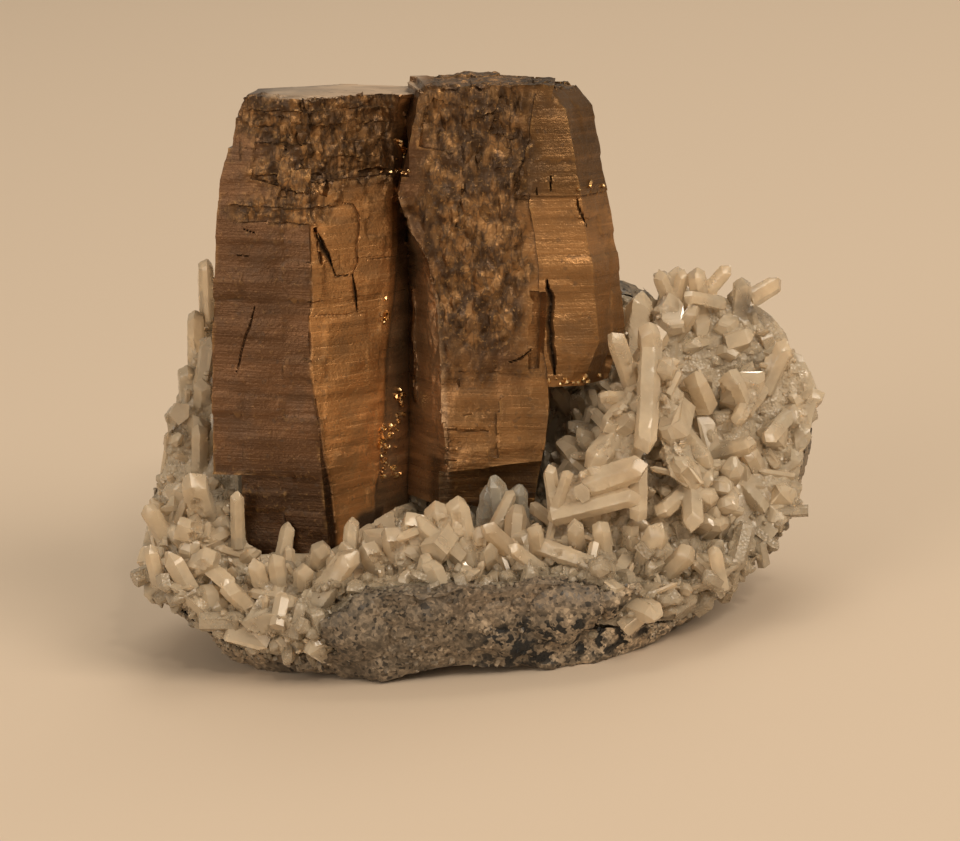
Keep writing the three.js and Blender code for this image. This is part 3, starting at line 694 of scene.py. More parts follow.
def faceLight(piece):
    # painted light and shade: the plate, the right flank and faces turned right are painted bright; the
    # recess, the feet and the upper flank get painted shade
    zones = bronzeZones
    x, y, z = onCrystal(pointsOf(piece))
    side = normalsOf(piece)
    fromRecess = x - borderAt("recessLeft", z)
    fromPlate = x - borderAt("plate", z)
    onLeft = fromRecess < 0
    recess = above(zones["recessEdge"], fromRecess)
    recess = recess * below(zones["recessEnd"], x - borderAt("recessRight", z))
    recess = recess * below(zones["recessTop"], z) * below(zones["ridgeClear"], onRidge(x, z))
    plate = above(zones["plateEdge"], fromPlate) * (side[:, 1] < frontTurn)
    plate = plate * (1 - plateFade * above(zones["plateTop"], z))
    column = within(zones["columnBright"], x) * below(zones["columnLow"], z) * (side[:, 1] < columnTurn)
    bright = above(zones["rightward"], side[:, 0])
    bright = np.maximum(bright, within(zones["flankBright"], x) * below(zones["flankFront"], side[:, 1]))
    bright = np.maximum(bright, column)
    bright = np.where(onLeft & (y < recessBack), plate, bright)
    under = above(zones["underAcross"], x) * below(zones["underTop"], z)
    flank = within(zones["flankAcross"], x)
    # places that get painted shade; the plate and its lower part get painted light
    paintedShadePlaces = {
        "foot": below(zones["footEdge"], fromPlate) * below(zones["footTop"], z),
        "under": under * np.maximum(above(zones["underBack"], y), below(zones["underFoot"], z)),
        "upper": flank * above(zones["flankUp"], z),
        "flank": flank,
        "lowColumn": within(zones["columnAcross"], x) * below(zones["columnLow"], z),
        "lowPlate": above(zones["plateInner"], fromPlate) * onLeft * below(zones["plateLow"], z),
        "plate": plate * onLeft,
        "recess": recess * below(zones["recessInner"], x),
    }
    shade = sum(paintedShadeBy[name] * weights for name, weights in paintedShadePlaces.items())
    lens = above(zones["lensLeft"], x) * below(zones["lensRight"], x)
    top = above(zones["lensLevel"], side[:, 2]) * above(zones["lensUp"], z) * lens
    # painted light in the bright mask, painted shade in the shade mask, a painted sheen in the top mask
    paintMask(piece, "bright", bright * (1 - recess))
    paintMask(piece, "recess", recess)
    paintMask(piece, "shade", np.clip(shade, *bronzeTones["shade"][:2]))
    paintMask(piece, "top", top)


def makePyrrhotite():
    piece = copyOfNode("pyrrhotite_crystals", "pyrrhotiteCrystals")
    remesh(piece, pyrrhotite["detail"])
    chance = random.Random(pyrrhotite["seed"])
    paths = [jagged(crack["line"], chance) for crack in cracks]
    refineFront(piece, paths)
    faceLight(piece)
    crystalZones(piece)
    for layer in pyrrhotite["relief"]:
        roughen(piece, layer, leaningFrame())
    stepFaces(piece)
    carveCracks(piece, paths)
    bends = edgeBends(piece)
    # painted highlight: the convex edges are marked for gold
    paintMask(piece, "edge", above(bronzeZones["edgeBend"], bends))
    paintMask(piece, "groove", above(bronzeZones["grooveBend"], -bends))
    pick(piece)
    bpy.ops.object.shade_smooth_by_angle(angle=sharpAngle)
    return piece


def pyrrhotiteMaterial():
    material, tree, shader, place = newMaterial("tarnishedBronze", {})
    look, tones = pyrrhotite, bronzeTones

    def times(first, second):
        return combine(tree, "MULTIPLY", first, second)

    def most(first, second):
        return combine(tree, "MAXIMUM", first, second)

    def toned(name, value):
        return mapValue(tree, value, *tones[name])

    along = addNode(tree, "ShaderNodeMapping", {
        "Vector": place, "Rotation": leaningFrame().to_euler(), "Location": look["seat"]},
        vector_type="TEXTURE").outputs["Vector"]
    upright = addNode(tree, "ShaderNodeMapping", {
        "Vector": along, "Scale": look["upright"]}).outputs["Vector"]
    masks = maskNodes(tree, (
        "fibrous", "broken", "bright", "crack", "recess", "shade", "top", "edge", "groove"))
    lines, bands, steps = (useGroup(tree, "lines", along, look[name]) for name in ("lines", "bands", "steps"))
    broad, stain, fleck = (
        useGroup(tree, "patches", along, look[name]) for name in ("broad", "stain", "fleck"))
    fibres = useGroup(tree, "patches", upright, look["fibres"])
    shards = useGroup(tree, "shards", upright, look["shards"])
    pits = useGroup(tree, "grains", along, look["pits"])
    rough = most(masks["fibrous"], masks["broken"])

    # colour: painted lit and shaded faces, mottled rough places, lines and bands, tarnish, a painted
    # highlight on the edges and painted shade in the crevices
    # painted light and shade: the bright mask picks the lit copy of the colour, elsewhere the shaded copy
    color = blendColors(tree, masks["bright"], look["shadedSideColor"], look["litFaceColor"])
    mottle = blendColors(tree, fibres["Mask"], look["tarnish"], look["roughColor"])
    mottle = blendColors(tree, 1.0, mottle, toned("shard", shards["Tone"]), "MULTIPLY")
    color = blendColors(tree, times(rough, tones["rough"]), color, mottle)
    # painted bounce light in the recess
    color = blendColors(tree, times(masks["recess"], tones["recess"]), color, look["paintedRecessLight"])
    # painted sheen on the flat top
    color = blendColors(tree, masks["top"], color, look["paintedTopSheen"])
    banded = times(toned("band", bands["Height"]), toned("bandPlate", bands["Plate"]))
    banded = times(banded, toned("stepPlate", steps["Plate"]))
    color = blendColors(tree, toned("linesOnRough", rough), color,
                        blendColors(tree, 1.0, color, banded, "MULTIPLY"))
    color = blendColors(tree, 1.0, color, toned("broad", broad["Cloud"]), "MULTIPLY")
    # painted shade, and painted light where the shade mask is below zero
    color = blendColors(tree, 1.0, color, toned("shade", masks["shade"]), "MULTIPLY")
    dull = times(stain["Mask"], toned("stainOnRough", rough))
    dull = most(dull, times(masks["groove"], tones["groove"]))
    dull = most(dull, times(pits["Mask"], tones["pit"]))
    dull = most(dull, times(shards["Gap"], times(rough, tones["gap"])))
    color = blendColors(tree, dull, color, look["tarnish"])
    # gold: flecks in the rough places, and a painted highlight along the convex edges
    bright = times(fleck["Mask"], toned("fleckOnRough", rough))
    bright = most(bright, times(masks["edge"], toned("edgeHighlight", fibres["Cloud"])))
    color = blendColors(tree, bright, color, look["gold"])
    # painted shade in the cracks and the hollow
    color = blendColors(tree, masks["crack"], color, look["paintedCreviceShade"])
    tree.links.new(color, shader.inputs["Base Color"])

    matte = most(most(dull, masks["top"]), masks["crack"])
    tree.links.new(toned("metal", matte), shader.inputs["Metallic"])
    gloss = combine(tree, "ADD", toned("gloss", lines["Height"]), toned("glossOnRough", rough))
    gloss = combine(tree, "SUBTRACT", gloss, times(bright, tones["glossOnBright"]))
    tree.links.new(gloss, shader.inputs["Roughness"])

    # relief: lines and ledges on the smooth faces, chips in the rough places
    ledge = combine(tree, "ADD", bands["Plate"], steps["Plate"])
    height = times(lines["Height"], toned("lineHeight", rough))
    height = combine(tree, "ADD", height, times(ledge, tones["ledgeHeight"]))
    height = combine(tree, "ADD", height, times(times(shards["Tone"], tones["chipHeight"]), rough))
    height = combine(tree, "ADD", height, fleck["Cloud"])
    bumpFrom(tree, shader, height, look["bump"])
    return material


bronzePiece = makePyrrhotite()
bronzePiece.data.materials.append(pyrrhotiteMaterial())
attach(bronzePiece, "root")
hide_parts("pyrrhotite_crystals")
print("pyrrhotite", len(bronzePiece.data.polygons), "faces")


# Matrix rock: granular and pale with dark grains

matrixRock = {
    "detail": {"depth": 8, "scale": 0.62},
    "relief": [
        {"size": (0.03, 0.03, 0.026), "strength": 0.007, "basis": "VORONOI_F1", "depth": 0, "middle": 0.55},
        {"size": (0.02, 0.02, 0.018), "strength": 0.003, "depth": 2},
        {"size": (0.008, 0.008, 0.007), "strength": 0.002, "depth": 1},
        {"size": (0.003, 0.003, 0.003), "strength": 0.0011, "basis": "CELL_NOISE", "depth": 0},
    ],
    "sunk": 0.005,
    "sinkFrom": 0.002,
    "sinkReach": 0.006,
    "sharpAngle": math.radians(40),
    # painted shade: all the rock's colours are set darker, for a front that lies in shade under the quartz
    "pale": (0.3, 0.232, 0.16, 1.0),
    "grey": (0.125, 0.096, 0.066, 1.0),
    "band": (0.185, 0.14, 0.097, 1.0),
    "sugar": (0.14, 0.11, 0.078, 1.0),
    "black": (0.012, 0.011, 0.01, 1.0),
    "chalk": (0.5, 0.4, 0.285, 1.0),
    "shares": {"band": 0.8, "sugar": 0.7, "chalk": 0.75},
    "speckShare": 0.8,
    "fine": {"Grain": 1100.0, "Crowd": 90.0, "Share": 0.07},
    "coarse": {"Grain": 560.0, "Crowd": 60.0, "Share": 0.03},
    "spots": {"Scale": 300.0, "Low": 0.5, "High": 0.54},
    "crowds": {"Scale": 75.0, "Low": 0.36, "High": 0.48},
    "patches": {"Scale": 60.0, "Low": 0.4, "High": 0.62},
    "fineTone": (0.0, 1.0, 0.5, 1.45),
    "coarseTone": (0.0, 1.0, 0.7, 1.35),
    "gloss": (0.0, 1.0, 0.3, 0.9),
    "bump": {"strength": 0.5, "distance": 0.0007},
}

# Zones of the rock's front, in millimetres, with soft ends
rockPlaces = {
    "front": (-45, -30),
    "darkAcross": (-8, 52, 8), "darkUp": (1, 21, 3), "darkLeast": 0.2,
    "bandAcross": (-28, 52, 8), "bandUp": (21, 34, 3),
    "sugarAcross": (-62, -14, 9),
    "chalkAcross": (30, 80, 6), "chalkSlope": 0.3,
}


def rockZones(piece):
    # where dark grains crowd, where a dull band runs under the quartz and where the rock is sugary or chalky
    places = rockPlaces
    x, y, z = pointsOf(piece).T * toMm
    front = below(places["front"], y)
    dark = within(places["darkAcross"], x) * within(places["darkUp"], z) * front
    paintMask(piece, "dark", np.maximum(dark, places["darkLeast"]))
    paintMask(piece, "band", within(places["bandAcross"], x) * within(places["bandUp"], z) * front)
    paintMask(piece, "sugar", within(places["sugarAcross"], x) * front)
    paintMask(piece, "chalk", within(places["chalkAcross"], x - places["chalkSlope"] * z) * front)


def sinkCovered(piece):
    # under the quartz the rock keeps clear of the crust's own relief
    crust = surfaceTree(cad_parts["quartz_crystals"])
    points, side = pointsOf(piece), normalsOf(piece)
    covered = np.zeros(len(points))
    for i, (point, normal) in enumerate(zip(points, side)):
        start = Vector(point - matrixRock["sinkFrom"] * normal)
        covered[i] = crust.ray_cast(start, Vector(normal), matrixRock["sinkReach"])[0] is not None
    for step in range(3):
        covered = np.minimum(covered, aroundMean(piece, covered))
    movePoints(piece, points - matrixRock["sunk"] * covered[:, None] * side)


def makeRock():
    piece = copyOfNode("matrix_rock", "matrixRock")
    remesh(piece, matrixRock["detail"])
    sinkCovered(piece)
    for layer in matrixRock["relief"]:
        roughen(piece, layer)
    for v in piece.data.vertices:
        v.co.z = max(0.0, v.co.z)  # it stands flat
    rockZones(piece)
    pick(piece)
    bpy.ops.object.shade_smooth_by_angle(angle=matrixRock["sharpAngle"])
    return piece


def rockMaterial():
    material, tree, shader, place = newMaterial("granularRock", {})
    look = matrixRock
    masks = maskNodes(tree, ("dark", "band", "sugar", "chalk"))
    fine, coarse = (useGroup(tree, "grains", place, look[name]) for name in ("fine", "coarse"))
    spots, crowds, patches = (
        useGroup(tree, "patches", place, look[name]) for name in ("spots", "crowds", "patches"))
    color = blendColors(tree, patches["Mask"], look["pale"], look["grey"])
    for zone, share in look["shares"].items():
        color = blendColors(tree, combine(tree, "MULTIPLY", masks[zone], share), color, look[zone])
    tone = combine(tree, "MULTIPLY", mapValue(tree, fine["Tone"], *look["fineTone"]),
                   mapValue(tree, coarse["Tone"], *look["coarseTone"]))
    color = blendColors(tree, 1.0, color, tone, "MULTIPLY")
    specks = combine(tree, "MAXIMUM", fine["Mask"], coarse["Mask"])
    color = blendColors(tree, combine(tree, "MULTIPLY", specks, look["speckShare"]), color, look["black"])
    clusters = combine(tree, "MULTIPLY", spots["Mask"], crowds["Mask"])
    color = blendColors(tree, combine(tree, "MULTIPLY", clusters, masks["dark"]), color, look["black"])
    tree.links.new(color, shader.inputs["Base Color"])
    tree.links.new(mapValue(tree, fine["Tone"], *look["gloss"]), shader.inputs["Roughness"])
    bumpFrom(tree, shader, fine["Tone"], look["bump"])
    return material


stoneFinish = rockMaterial()
rockPiece = makeRock()
rockPiece.data.materials.append(stoneFinish)
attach(rockPiece, "root")
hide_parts("matrix_rock")
print("rock", len(rockPiece.data.polygons), "faces")


# Quartz: the crust with its large prisms, then blocks, small prisms and grains that fill it

quartz = {
    "milk": (0.99, 0.83, 0.61, 1.0),
    "clear": (0.75, 0.62, 0.45, 1.0),
    "dull": (0.38, 0.315, 0.225, 1.0),
    "rust": (0.5, 0.3, 0.12, 1.0),
    "darkBrown": (0.2, 0.15, 0.1, 1.0),
    "glass": (0.97, 0.92, 0.8, 1.0),
    "bending": 1.544,
    "through": 0.55,
    "glassThrough": 0.72,
    "depthColor": (0.8, 0.76, 0.6, 1.0),
    "depthDensity": 14.0,
    "darkPatch": (0.093, 0.014, 0.092),
    "veil": {"Scale": 150.0, "Low": 0.38, "High": 0.66, "Detail": 3.0},
    "stain": {"Scale": 36.0, "Low": 0.55, "High": 0.75},
    "darkBlotches": {"Scale": 75.0, "Low": 0.6, "High": 0.72},
    "sugar": {"Grain": 1000.0, "Crowd": 60.0, "Share": 0.0},
    "glassVeil": {"Scale": 220.0, "Low": 0.5, "High": 0.7},
    "bump": {"strength": 0.4, "distance": 0.0008},
    "glassBump": {"strength": 0.2, "distance": 0.0005},
    "detail": {"depth": 8, "scale": 0.85},
    "soften": {"factor": 0.5, "iterations": 2},
    "relief": [
        {"size": (0.007, 0.007, 0.007), "strength": 0.0006},
        {"size": (0.018, 0.018, 0.018), "strength": 0.006, "depth": 0, "group": "bed"},
        {"size": (0.009, 0.009, 0.009), "strength": 0.0035, "depth": 0,
         "basis": "VORONOI_F2_F1", "group": "bed"},
        {"size": (0.003, 0.003, 0.003), "strength": 0.0016, "depth": 0,
         "basis": "CELL_NOISE", "group": "bed"},
    ],
    "rimReach": (0.0015, 0.007),
    # milkier on convex edges, clearer and darker in creases: partly the quartz's own milky edges, partly
    # painted shade in the creases
    "edgeMilkAndCreaseShade": (0.45, 2.5),
    # milkier towards the tip: partly the quartz's own white tips, partly painted shade on the feet among the
    # crystals
    "tipMilkAndFootShade": (0.5, 0.6),
    "seed": 12,
}

# How strongly each effect shows, and how a value is turned into a tone: from low and high, to low and high
quartzTones = {
    "stain": 0.2, "rimGloss": 0.2, "veilHeight": 0.4,
    "veilOnMilk": (0.0, 1.0, 1.0, 0.2),
    "darkBlotchesOnBed": (0.0, 1.0, 0.06, 0.4),
    "rimOnVeil": (0.35, 0.65, 0.95, 0.45),
    "patch": (0.003, 0.011, 1.0, 0.0),
    "patchOnVeil": (0.4, 0.6, 0.2, 0.9),
    "gloss": (0.3, 0.7, 0.06, 0.3),
    "glassGloss": (0.3, 0.7, 0.02, 0.2),
    "grainHeight": (0.0, 1.0, 0.04, 1.2),
}

# The crust's bed is found by looking around each face: how far, how deep and how many looks must meet it
bedTest = {"free": 0.003, "looks": 8, "reach": 0.005, "depth": 0.003, "least": 6}

# Crystals modelled once, one unit wide
crystalKinds = {
    "chunk": {"sides": 5, "length": 1.0, "point": 0.3, "blunt": (0.7, 0.5), "skew": 0.2, "uneven": 0.11},
    "block": {"sides": 6, "length": 1.5, "point": 0.35, "blunt": (0.68, 0.4), "skew": 0.14, "uneven": 0.06},
    "chisel": {"sides": 6, "length": 2.1, "point": 0.45, "blunt": (0.55, 0.25), "skew": 0.1, "uneven": 0.05},
    "slim": {"sides": 6, "length": 3.2, "point": 0.5, "blunt": (0.4, 0.25), "skew": 0.1, "uneven": 0.04},
    "grain": {"sides": 5, "length": 0.8, "point": 0.35, "blunt": (0.45, 0.3), "skew": 0.15, "uneven": 0.12},
}
shapesPerKind = 4
softEdge = 0.075

# What grows: kinds, tries, width in millimetres, share of the length that is sunk, lean and distance apart.
# Some keep to level ground (steep) or grow thinly where the crust is massive.
nestGrowth = [
    {"kinds": ("chunk",), "count": 380, "wide": (6.0, 10.5), "sunk": 0.76, "lean": 0.7, "apart": 6.0,
     "steep": -0.3},
    {"kinds": ("block", "chisel"), "count": 360, "wide": (4.0, 8.5), "sunk": 0.5, "lean": 0.75, "apart": 5.6,
     "steep": 0.2, "massive": 0.2},
    {"kinds": ("slim", "chisel"), "count": 440, "wide": (1.8, 3.8), "sunk": 0.35, "lean": 0.9, "apart": 3.0,
     "steep": 0.1, "massive": 0.3},
]
rimGrowth = [
    {"kinds": ("grain",), "count": 1500, "wide": (0.7, 1.8), "sunk": 0.5, "lean": 1.2, "apart": 1.0},
]
edgeGrowth = [
    {"kinds": ("chunk", "block"), "count": 420, "wide": (3.0, 7.0), "sunk": 0.6, "lean": 0.8, "apart": 3.2},
    {"kinds": ("grain",), "count": 900, "wide": (0.8, 2.2), "sunk": 0.5, "lean": 1.0, "apart": 1.0},
]
fillGrowth = [
    {"kinds": ("chunk", "block"), "count": 160, "wide": (5.0, 8.0), "sunk": 0.45, "lean": 0.45, "apart": 2.4},
]
clearGrowth = [
    {"kinds": ("slim",), "count": 80, "wide": (5.4, 7.2), "sunk": 0.12, "lean": 0.16, "apart": 4.8},
    {"kinds": ("chisel",), "count": 60, "wide": (4.0, 6.5), "sunk": 0.15, "lean": 0.35, "apart": 3.6},
]
seamGrowth = [
    {"kinds": ("chunk", "block"), "count": 240, "wide": (1.4, 3.6), "sunk": 0.64, "lean": 0.9, "apart": 1.8},
    {"kinds": ("grain",), "count": 900, "wide": (0.6, 1.6), "sunk": 0.5, "lean": 1.0, "apart": 0.8},
]
rockGrowth = [
    {"kinds": ("grain",), "count": 900, "wide": (0.8, 2.6), "sunk": 0.6, "lean": 1.0, "apart": 1.3},
]
goldGrowth = [
    {"kinds": ("grain",), "count": 240, "wide": (0.8, 2.2), "sunk": 0.35, "lean": 0.9, "apart": 0.7},
]
growRules = {
    "smallOften": 1.6,  # more small ones than large ones
    "stretch": (0.8, 1.3),
    "flat": (0.7, 1.1),
    "upright": 0.15,  # least share of the axis along the normal
    "lowest": 0.003,
    "sideRoom": 0.6,  # in widths, as is the room beside the bronze
    "bronzeRoom": 0.6,
    "sideMargin": 0.001,
    "massiveFrom": 0.068,
}

# Where the crust is thin and crystals cover it: middle, way it faces and reach, in millimetres
thinPlaces = [
    {"at": (71.5, -29.0, 36.0), "facing": (0.45, -0.75, 0.5), "reach": 6.0},
    {"at": (72.5, -29.0, 44.5), "facing": (0.45, -0.75, 0.5), "reach": 7.0},
]

# Where clear crystals stand at the foot of the right bronze crystal
clearPlaces = [
    {"at": (-1.0, -20.0, 48.0), "facing": (0.08, -0.05, 1.0), "reach": 3.5},
    {"at": (8.0, -19.5, 47.0), "facing": (0.1, -0.05, 1.0), "reach": 6.0},
]
spotsPerPlace = 60

# How far the crystals reach to the left and right at each height, in millimetres
sideLimits = {
    "left": [(20, -110), (39, -113.5), (55, -107.5), (78, -98.5), (99, -91.6), (127, -86.8), (134, -83)],
    "right": [(16, 91), (28, 99.6), (47, 105), (62, 111), (82, 101), (99, 92), (118, 82), (126, 75)],
}

# Hollows that stay open at the foot of the bronze crystals: places on the crystals and reach
hollows = [
    {"at": (-8, -12, 6), "reach": 11},
    {"at": (4, -14, 14), "reach": 9},
]

# Where grains and small crystals take hold beside the rock: distances, heights and how dull they are
soilLimits = {
    "edge": (0.0, 0.013), "edgeTop": 0.034, "edgeDull": 0.6,
    "seam": (0.0002, 0.004), "seamDull": 0.95,
    "rock": (0.0002, 1.0), "rockFront": -0.03, "rockRight": 0.085,
    "lift": 0.0004, "cover": 0.02,
    "dropFrom": 0.02, "drop": 0.05,
}


def bedFaces(piece, neighbours):
    # the crust between its large prisms, where neither the rock nor the bronze lies against it
    crust = surfaceTree(piece)
    chosen = np.zeros(len(piece.data.polygons), bool)
    for face in piece.data.polygons:
        center, normal = face.center.copy(), face.normal.copy()
        if any(other.ray_cast(center, normal, bedTest["free"])[0] for other in neighbours):
            continue
        across = normal.orthogonal().normalized()
        met = 0
        for step in range(bedTest["looks"]):
            aside = Quaternion(normal, step * 2 * math.pi / bedTest["looks"]) @ across
            spot = center + aside * bedTest["reach"] - normal * bedTest["depth"]
            near, away, index, distance = crust.find_nearest(spot)
            met += (spot - near).dot(away) < 0
        chosen[face.index] = met >= bedTest["least"]
    return chosen


def makeCrust():
    piece = copyOfNode("quartz_crystals", "quartzCrust")
    neighbours = [surfaceTree(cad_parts[node]) for node in ("matrix_rock", "pyrrhotite_crystals")]
    chosen, plain = bedFaces(piece, neighbours), surfaceTree(piece)
    remesh(piece, quartz["detail"])
    soften = piece.modifiers.new("soften", "SMOOTH")
    soften.factor = quartz["soften"]["factor"]
    soften.iterations = quartz["soften"]["iterations"]
    bpy.ops.object.modifier_apply(modifier="soften")
    bed = np.array([chosen[plain.find_nearest(v.co)[2]] for v in piece.data.vertices], float)
    for step in range(2):
        bed = np.minimum(bed, aroundMean(piece, bed))
    weigh(piece, "bed", bed)
    for layer in quartz["relief"]:
        roughen(piece, layer)
    pick(piece)
    bpy.ops.object.shade_smooth_by_angle(angle=sharpAngle)
    rock = surfaceTree(rockPiece)
    reach = np.array([rock.find_nearest(v.co)[3] for v in piece.data.vertices])
    paintMask(piece, "rim", below(quartz["rimReach"], reach))
    # milkier on convex edges, clearer and darker in creases: partly the quartz's own milky edges, partly
    # painted shade in the creases
    level, gain = quartz["edgeMilkAndCreaseShade"]
    paintMask(piece, "milk", np.clip(level + gain * edgeBends(piece), 0, 1))
    return piece, [bed[list(face.vertices)].min() > 0.5 for face in piece.data.polygons]


def modelCrystal(kind, seed):
    form = crystalKinds[kind]
    bpy.ops.mesh.primitive_cylinder_add(vertices=form["sides"], radius=0.5, depth=form["length"],
                                        location=(0, 0, form["length"] / 2))
    crystal = bpy.context.object
    bpy.ops.object.transform_apply(location=True)
    for face in crystal.data.polygons:
        face.select = face.normal.z > 0.9
    bpy.ops.object.mode_set(mode="EDIT")
    bpy.ops.mesh.select_mode(type="FACE")
    bpy.ops.mesh.extrude_region_move(TRANSFORM_OT_translate={"value": (form["skew"], 0.0, form["point"])})
    bpy.ops.transform.resize(value=(*form["blunt"], 1.0))
    bpy.ops.mesh.select_all(action="SELECT")
    bpy.ops.transform.vertex_random(offset=form["uneven"], seed=seed)
    bpy.ops.object.mode_set(mode="OBJECT")
    if kind != "grain":
        soften = crystal.modifiers.new("soften", "BEVEL")
        soften.width = softEdge
        soften.limit_method = "ANGLE"
        bpy.ops.object.modifier_apply(modifier="soften")
    return crystal


def sideReach(tip):
    low, high = (np.interp(toMm * tip.z, *zip(*sideLimits[edge])) for edge in ("left", "right"))
    return mm * low - growRules["sideMargin"], mm * high + growRules["sideMargin"]


def plantCrystal(model, foot, axis, turn, size, milk, length):
    crystal = model.copy()
    crystal.data = crystal.data.copy()
    placed = axis.to_track_quat("Z", "Y").to_matrix().to_4x4() @ Matrix.Rotation(turn, 4, "Z")
    placed = placed @ Matrix.Diagonal((*size, 1))
    placed.translation = foot
    crystal.data.transform(placed)
    rise = pointsOf(crystal) @ np.array(axis) - foot.dot(axis)
    # milkier towards the tip: partly the quartz's own white tips, partly painted shade on the feet among the
    # crystals
    whole, towardsTip = quartz["tipMilkAndFootShade"]
    paintMask(crystal, "milk", whole * milk + towardsTip * rise / length)
    bpy.context.collection.objects.link(crystal)
    return crystal


def growCrystals(name, soil, crops, bronze):
    rules = growRules
    chance = random.Random(quartz["seed"])
    models = {kind: [modelCrystal(kind, 1 + i) for i in range(shapesPerKind)] for kind in crystalKinds}
    reach = np.cumsum([area for center, normal, area in soil])
    kept = [(leaningFrame() @ (mm * Vector(hollow["at"])), mm * hollow["reach"]) for hollow in hollows]
    grown = []
    for crop in crops:
        feet = []
        thinnest, widest = crop["wide"]
        for attempt in range(crop["count"]):
            center, normal, area = soil[int(np.searchsorted(reach, chance.random() * reach[-1]))]
            wide = mm * (thinnest + (widest - thinnest) * chance.random() ** rules["smallOften"])
            swing = Vector((chance.uniform(-1, 1), chance.uniform(-1, 1), chance.uniform(-0.7, 1)))
            axis = (normal + crop["lean"] * swing).normalized()
            kind = chance.choice(crop["kinds"])
            shape, turn, milk = chance.randrange(shapesPerKind), chance.uniform(0, fullTurn), chance.random()
            stretch, flat = chance.uniform(*rules["stretch"]), chance.uniform(*rules["flat"])
            length = wide * stretch * (crystalKinds[kind]["length"] + crystalKinds[kind]["point"])
            foot = center - axis * crop["sunk"] * length
            tip = foot + axis * length
            left, right = sideReach(tip)
            crowded = center.x > rules["massiveFrom"] and chance.random() > crop.get("massive", 1.0)
            if crowded or normal.z < crop.get("steep", -1.0) or axis.dot(normal) < rules["upright"]:
                continue
            if min(tip.z, foot.z) < rules["lowest"]:
                continue
            if not left + rules["sideRoom"] * wide < tip.x < right - rules["sideRoom"] * wide:
                continue
            if bronze and any((center - at).length < far for at, far in kept):
                continue
            if any((center - other).length < mm * crop["apart"] for other in feet):
                continue
            near = (bronze.find_nearest(spot)[3] for spot in (tip, (foot + tip) / 2)) if bronze else (1.0,)
            if min(near) < rules["bronzeRoom"] * wide:
                continue
            feet.append(center)
            size = (wide, wide * flat, wide * stretch)
            grown.append(plantCrystal(models[kind][shape], foot, axis, turn, size, milk, length))
    for shapes in models.values():
        for model in shapes:
            bpy.data.objects.remove(model)
    bpy.ops.object.select_all(action="DESELECT")
    for crystal in grown:
        crystal.select_set(True)
    bpy.context.view_layer.objects.active = grown[0]
    bpy.ops.object.join()
    piece = bpy.context.object
    piece.name = name
    piece.data.materials.clear()
    return piece


def quartzMaterial():
    material, tree, shader, place = newMaterial("milkyQuartz", {
        "IOR": quartz["bending"], "Transmission Weight": quartz["through"], "Metallic": 0.0})

    def times(first, second):
        return combine(tree, "MULTIPLY", first, second)

    def toned(name, value):
        return mapValue(tree, value, *quartzTones[name])

    veil, stain, darkBlotches = (
        useGroup(tree, "patches", place, quartz[name]) for name in ("veil", "stain", "darkBlotches"))
    sugar = useGroup(tree, "grains", place, quartz["sugar"])
    masks = maskNodes(tree, ("bed", "rim", "milk"))
    color = blendColors(tree, times(veil["Mask"], toned("veilOnMilk", masks["milk"])),
                        quartz["milk"], quartz["clear"])
    color = blendColors(tree, times(stain["Mask"], quartzTones["stain"]), color, quartz["rust"])
    # dark blotches, much stronger on the bed between the prisms
    color = blendColors(tree, times(darkBlotches["Mask"], toned("darkBlotchesOnBed", masks["bed"])), color, quartz["darkBrown"])
    edge = times(masks["rim"], toned("rimOnVeil", veil["Cloud"]))
    color = blendColors(tree, edge, color, quartz["dull"])
    away = addNode(tree, "ShaderNodeVectorMath", {0: place, 1: quartz["darkPatch"]}, operation="DISTANCE")
    patch = times(toned("patch", away.outputs["Value"]), toned("patchOnVeil", veil["Cloud"]))
    color = blendColors(tree, patch, color, quartz["darkBrown"])
    tree.links.new(color, shader.inputs["Base Color"])
    gloss = combine(tree, "ADD", toned("gloss", veil["Cloud"]), times(edge, quartzTones["rimGloss"]))
    tree.links.new(gloss, shader.inputs["Roughness"])
    grainy = toned("grainHeight", combine(tree, "MAXIMUM", masks["bed"], masks["rim"]))
    height = combine(tree, "ADD", times(veil["Cloud"], quartzTones["veilHeight"]),
                     times(sugar["Relief"], grainy))
    bumpFrom(tree, shader, height, quartz["bump"])
    return material


def clearMaterial():
    material, tree, shader, place = newMaterial("clearQuartz", {
        "IOR": quartz["bending"], "Transmission Weight": quartz["glassThrough"], "Metallic": 0.0})
    inside = addNode(tree, "ShaderNodeVolumeAbsorption", {
        "Color": quartz["depthColor"], "Density": quartz["depthDensity"]})
    tree.links.new(inside.outputs["Volume"], tree.nodes["Material Output"].inputs["Volume"])
    veil = useGroup(tree, "patches", place, quartz["glassVeil"])
    color = blendColors(tree, veil["Mask"], quartz["glass"], quartz["clear"])
    tree.links.new(color, shader.inputs["Base Color"])
    tree.links.new(mapValue(tree, veil["Cloud"], *quartzTones["glassGloss"]), shader.inputs["Roughness"])
    bumpFrom(tree, shader, veil["Cloud"], quartz["glassBump"])
    return material


def goldMaterial():
    material, tree, shader, place = newMaterial("brightBronze", {"Metallic": 1.0})
    tint = useGroup(tree, "patches", place, pyrrhotite["glint"])
    # the grains start from the lit copy of the bronze colour, a painted light, and turn to glitter in patches
    color = blendColors(tree, tint["Mask"], pyrrhotite["litFaceColor"], pyrrhotite["glitter"])
    tree.links.new(color, shader.inputs["Base Color"])
    tree.links.new(mapValue(tree, tint["Cloud"], *bronzeTones["glint"]), shader.inputs["Roughness"])
    return material


def soilOf(piece, chosen):
    return [(face.center.copy(), face.normal.copy(), face.area)
            for face in piece.data.polygons if chosen[face.index]]


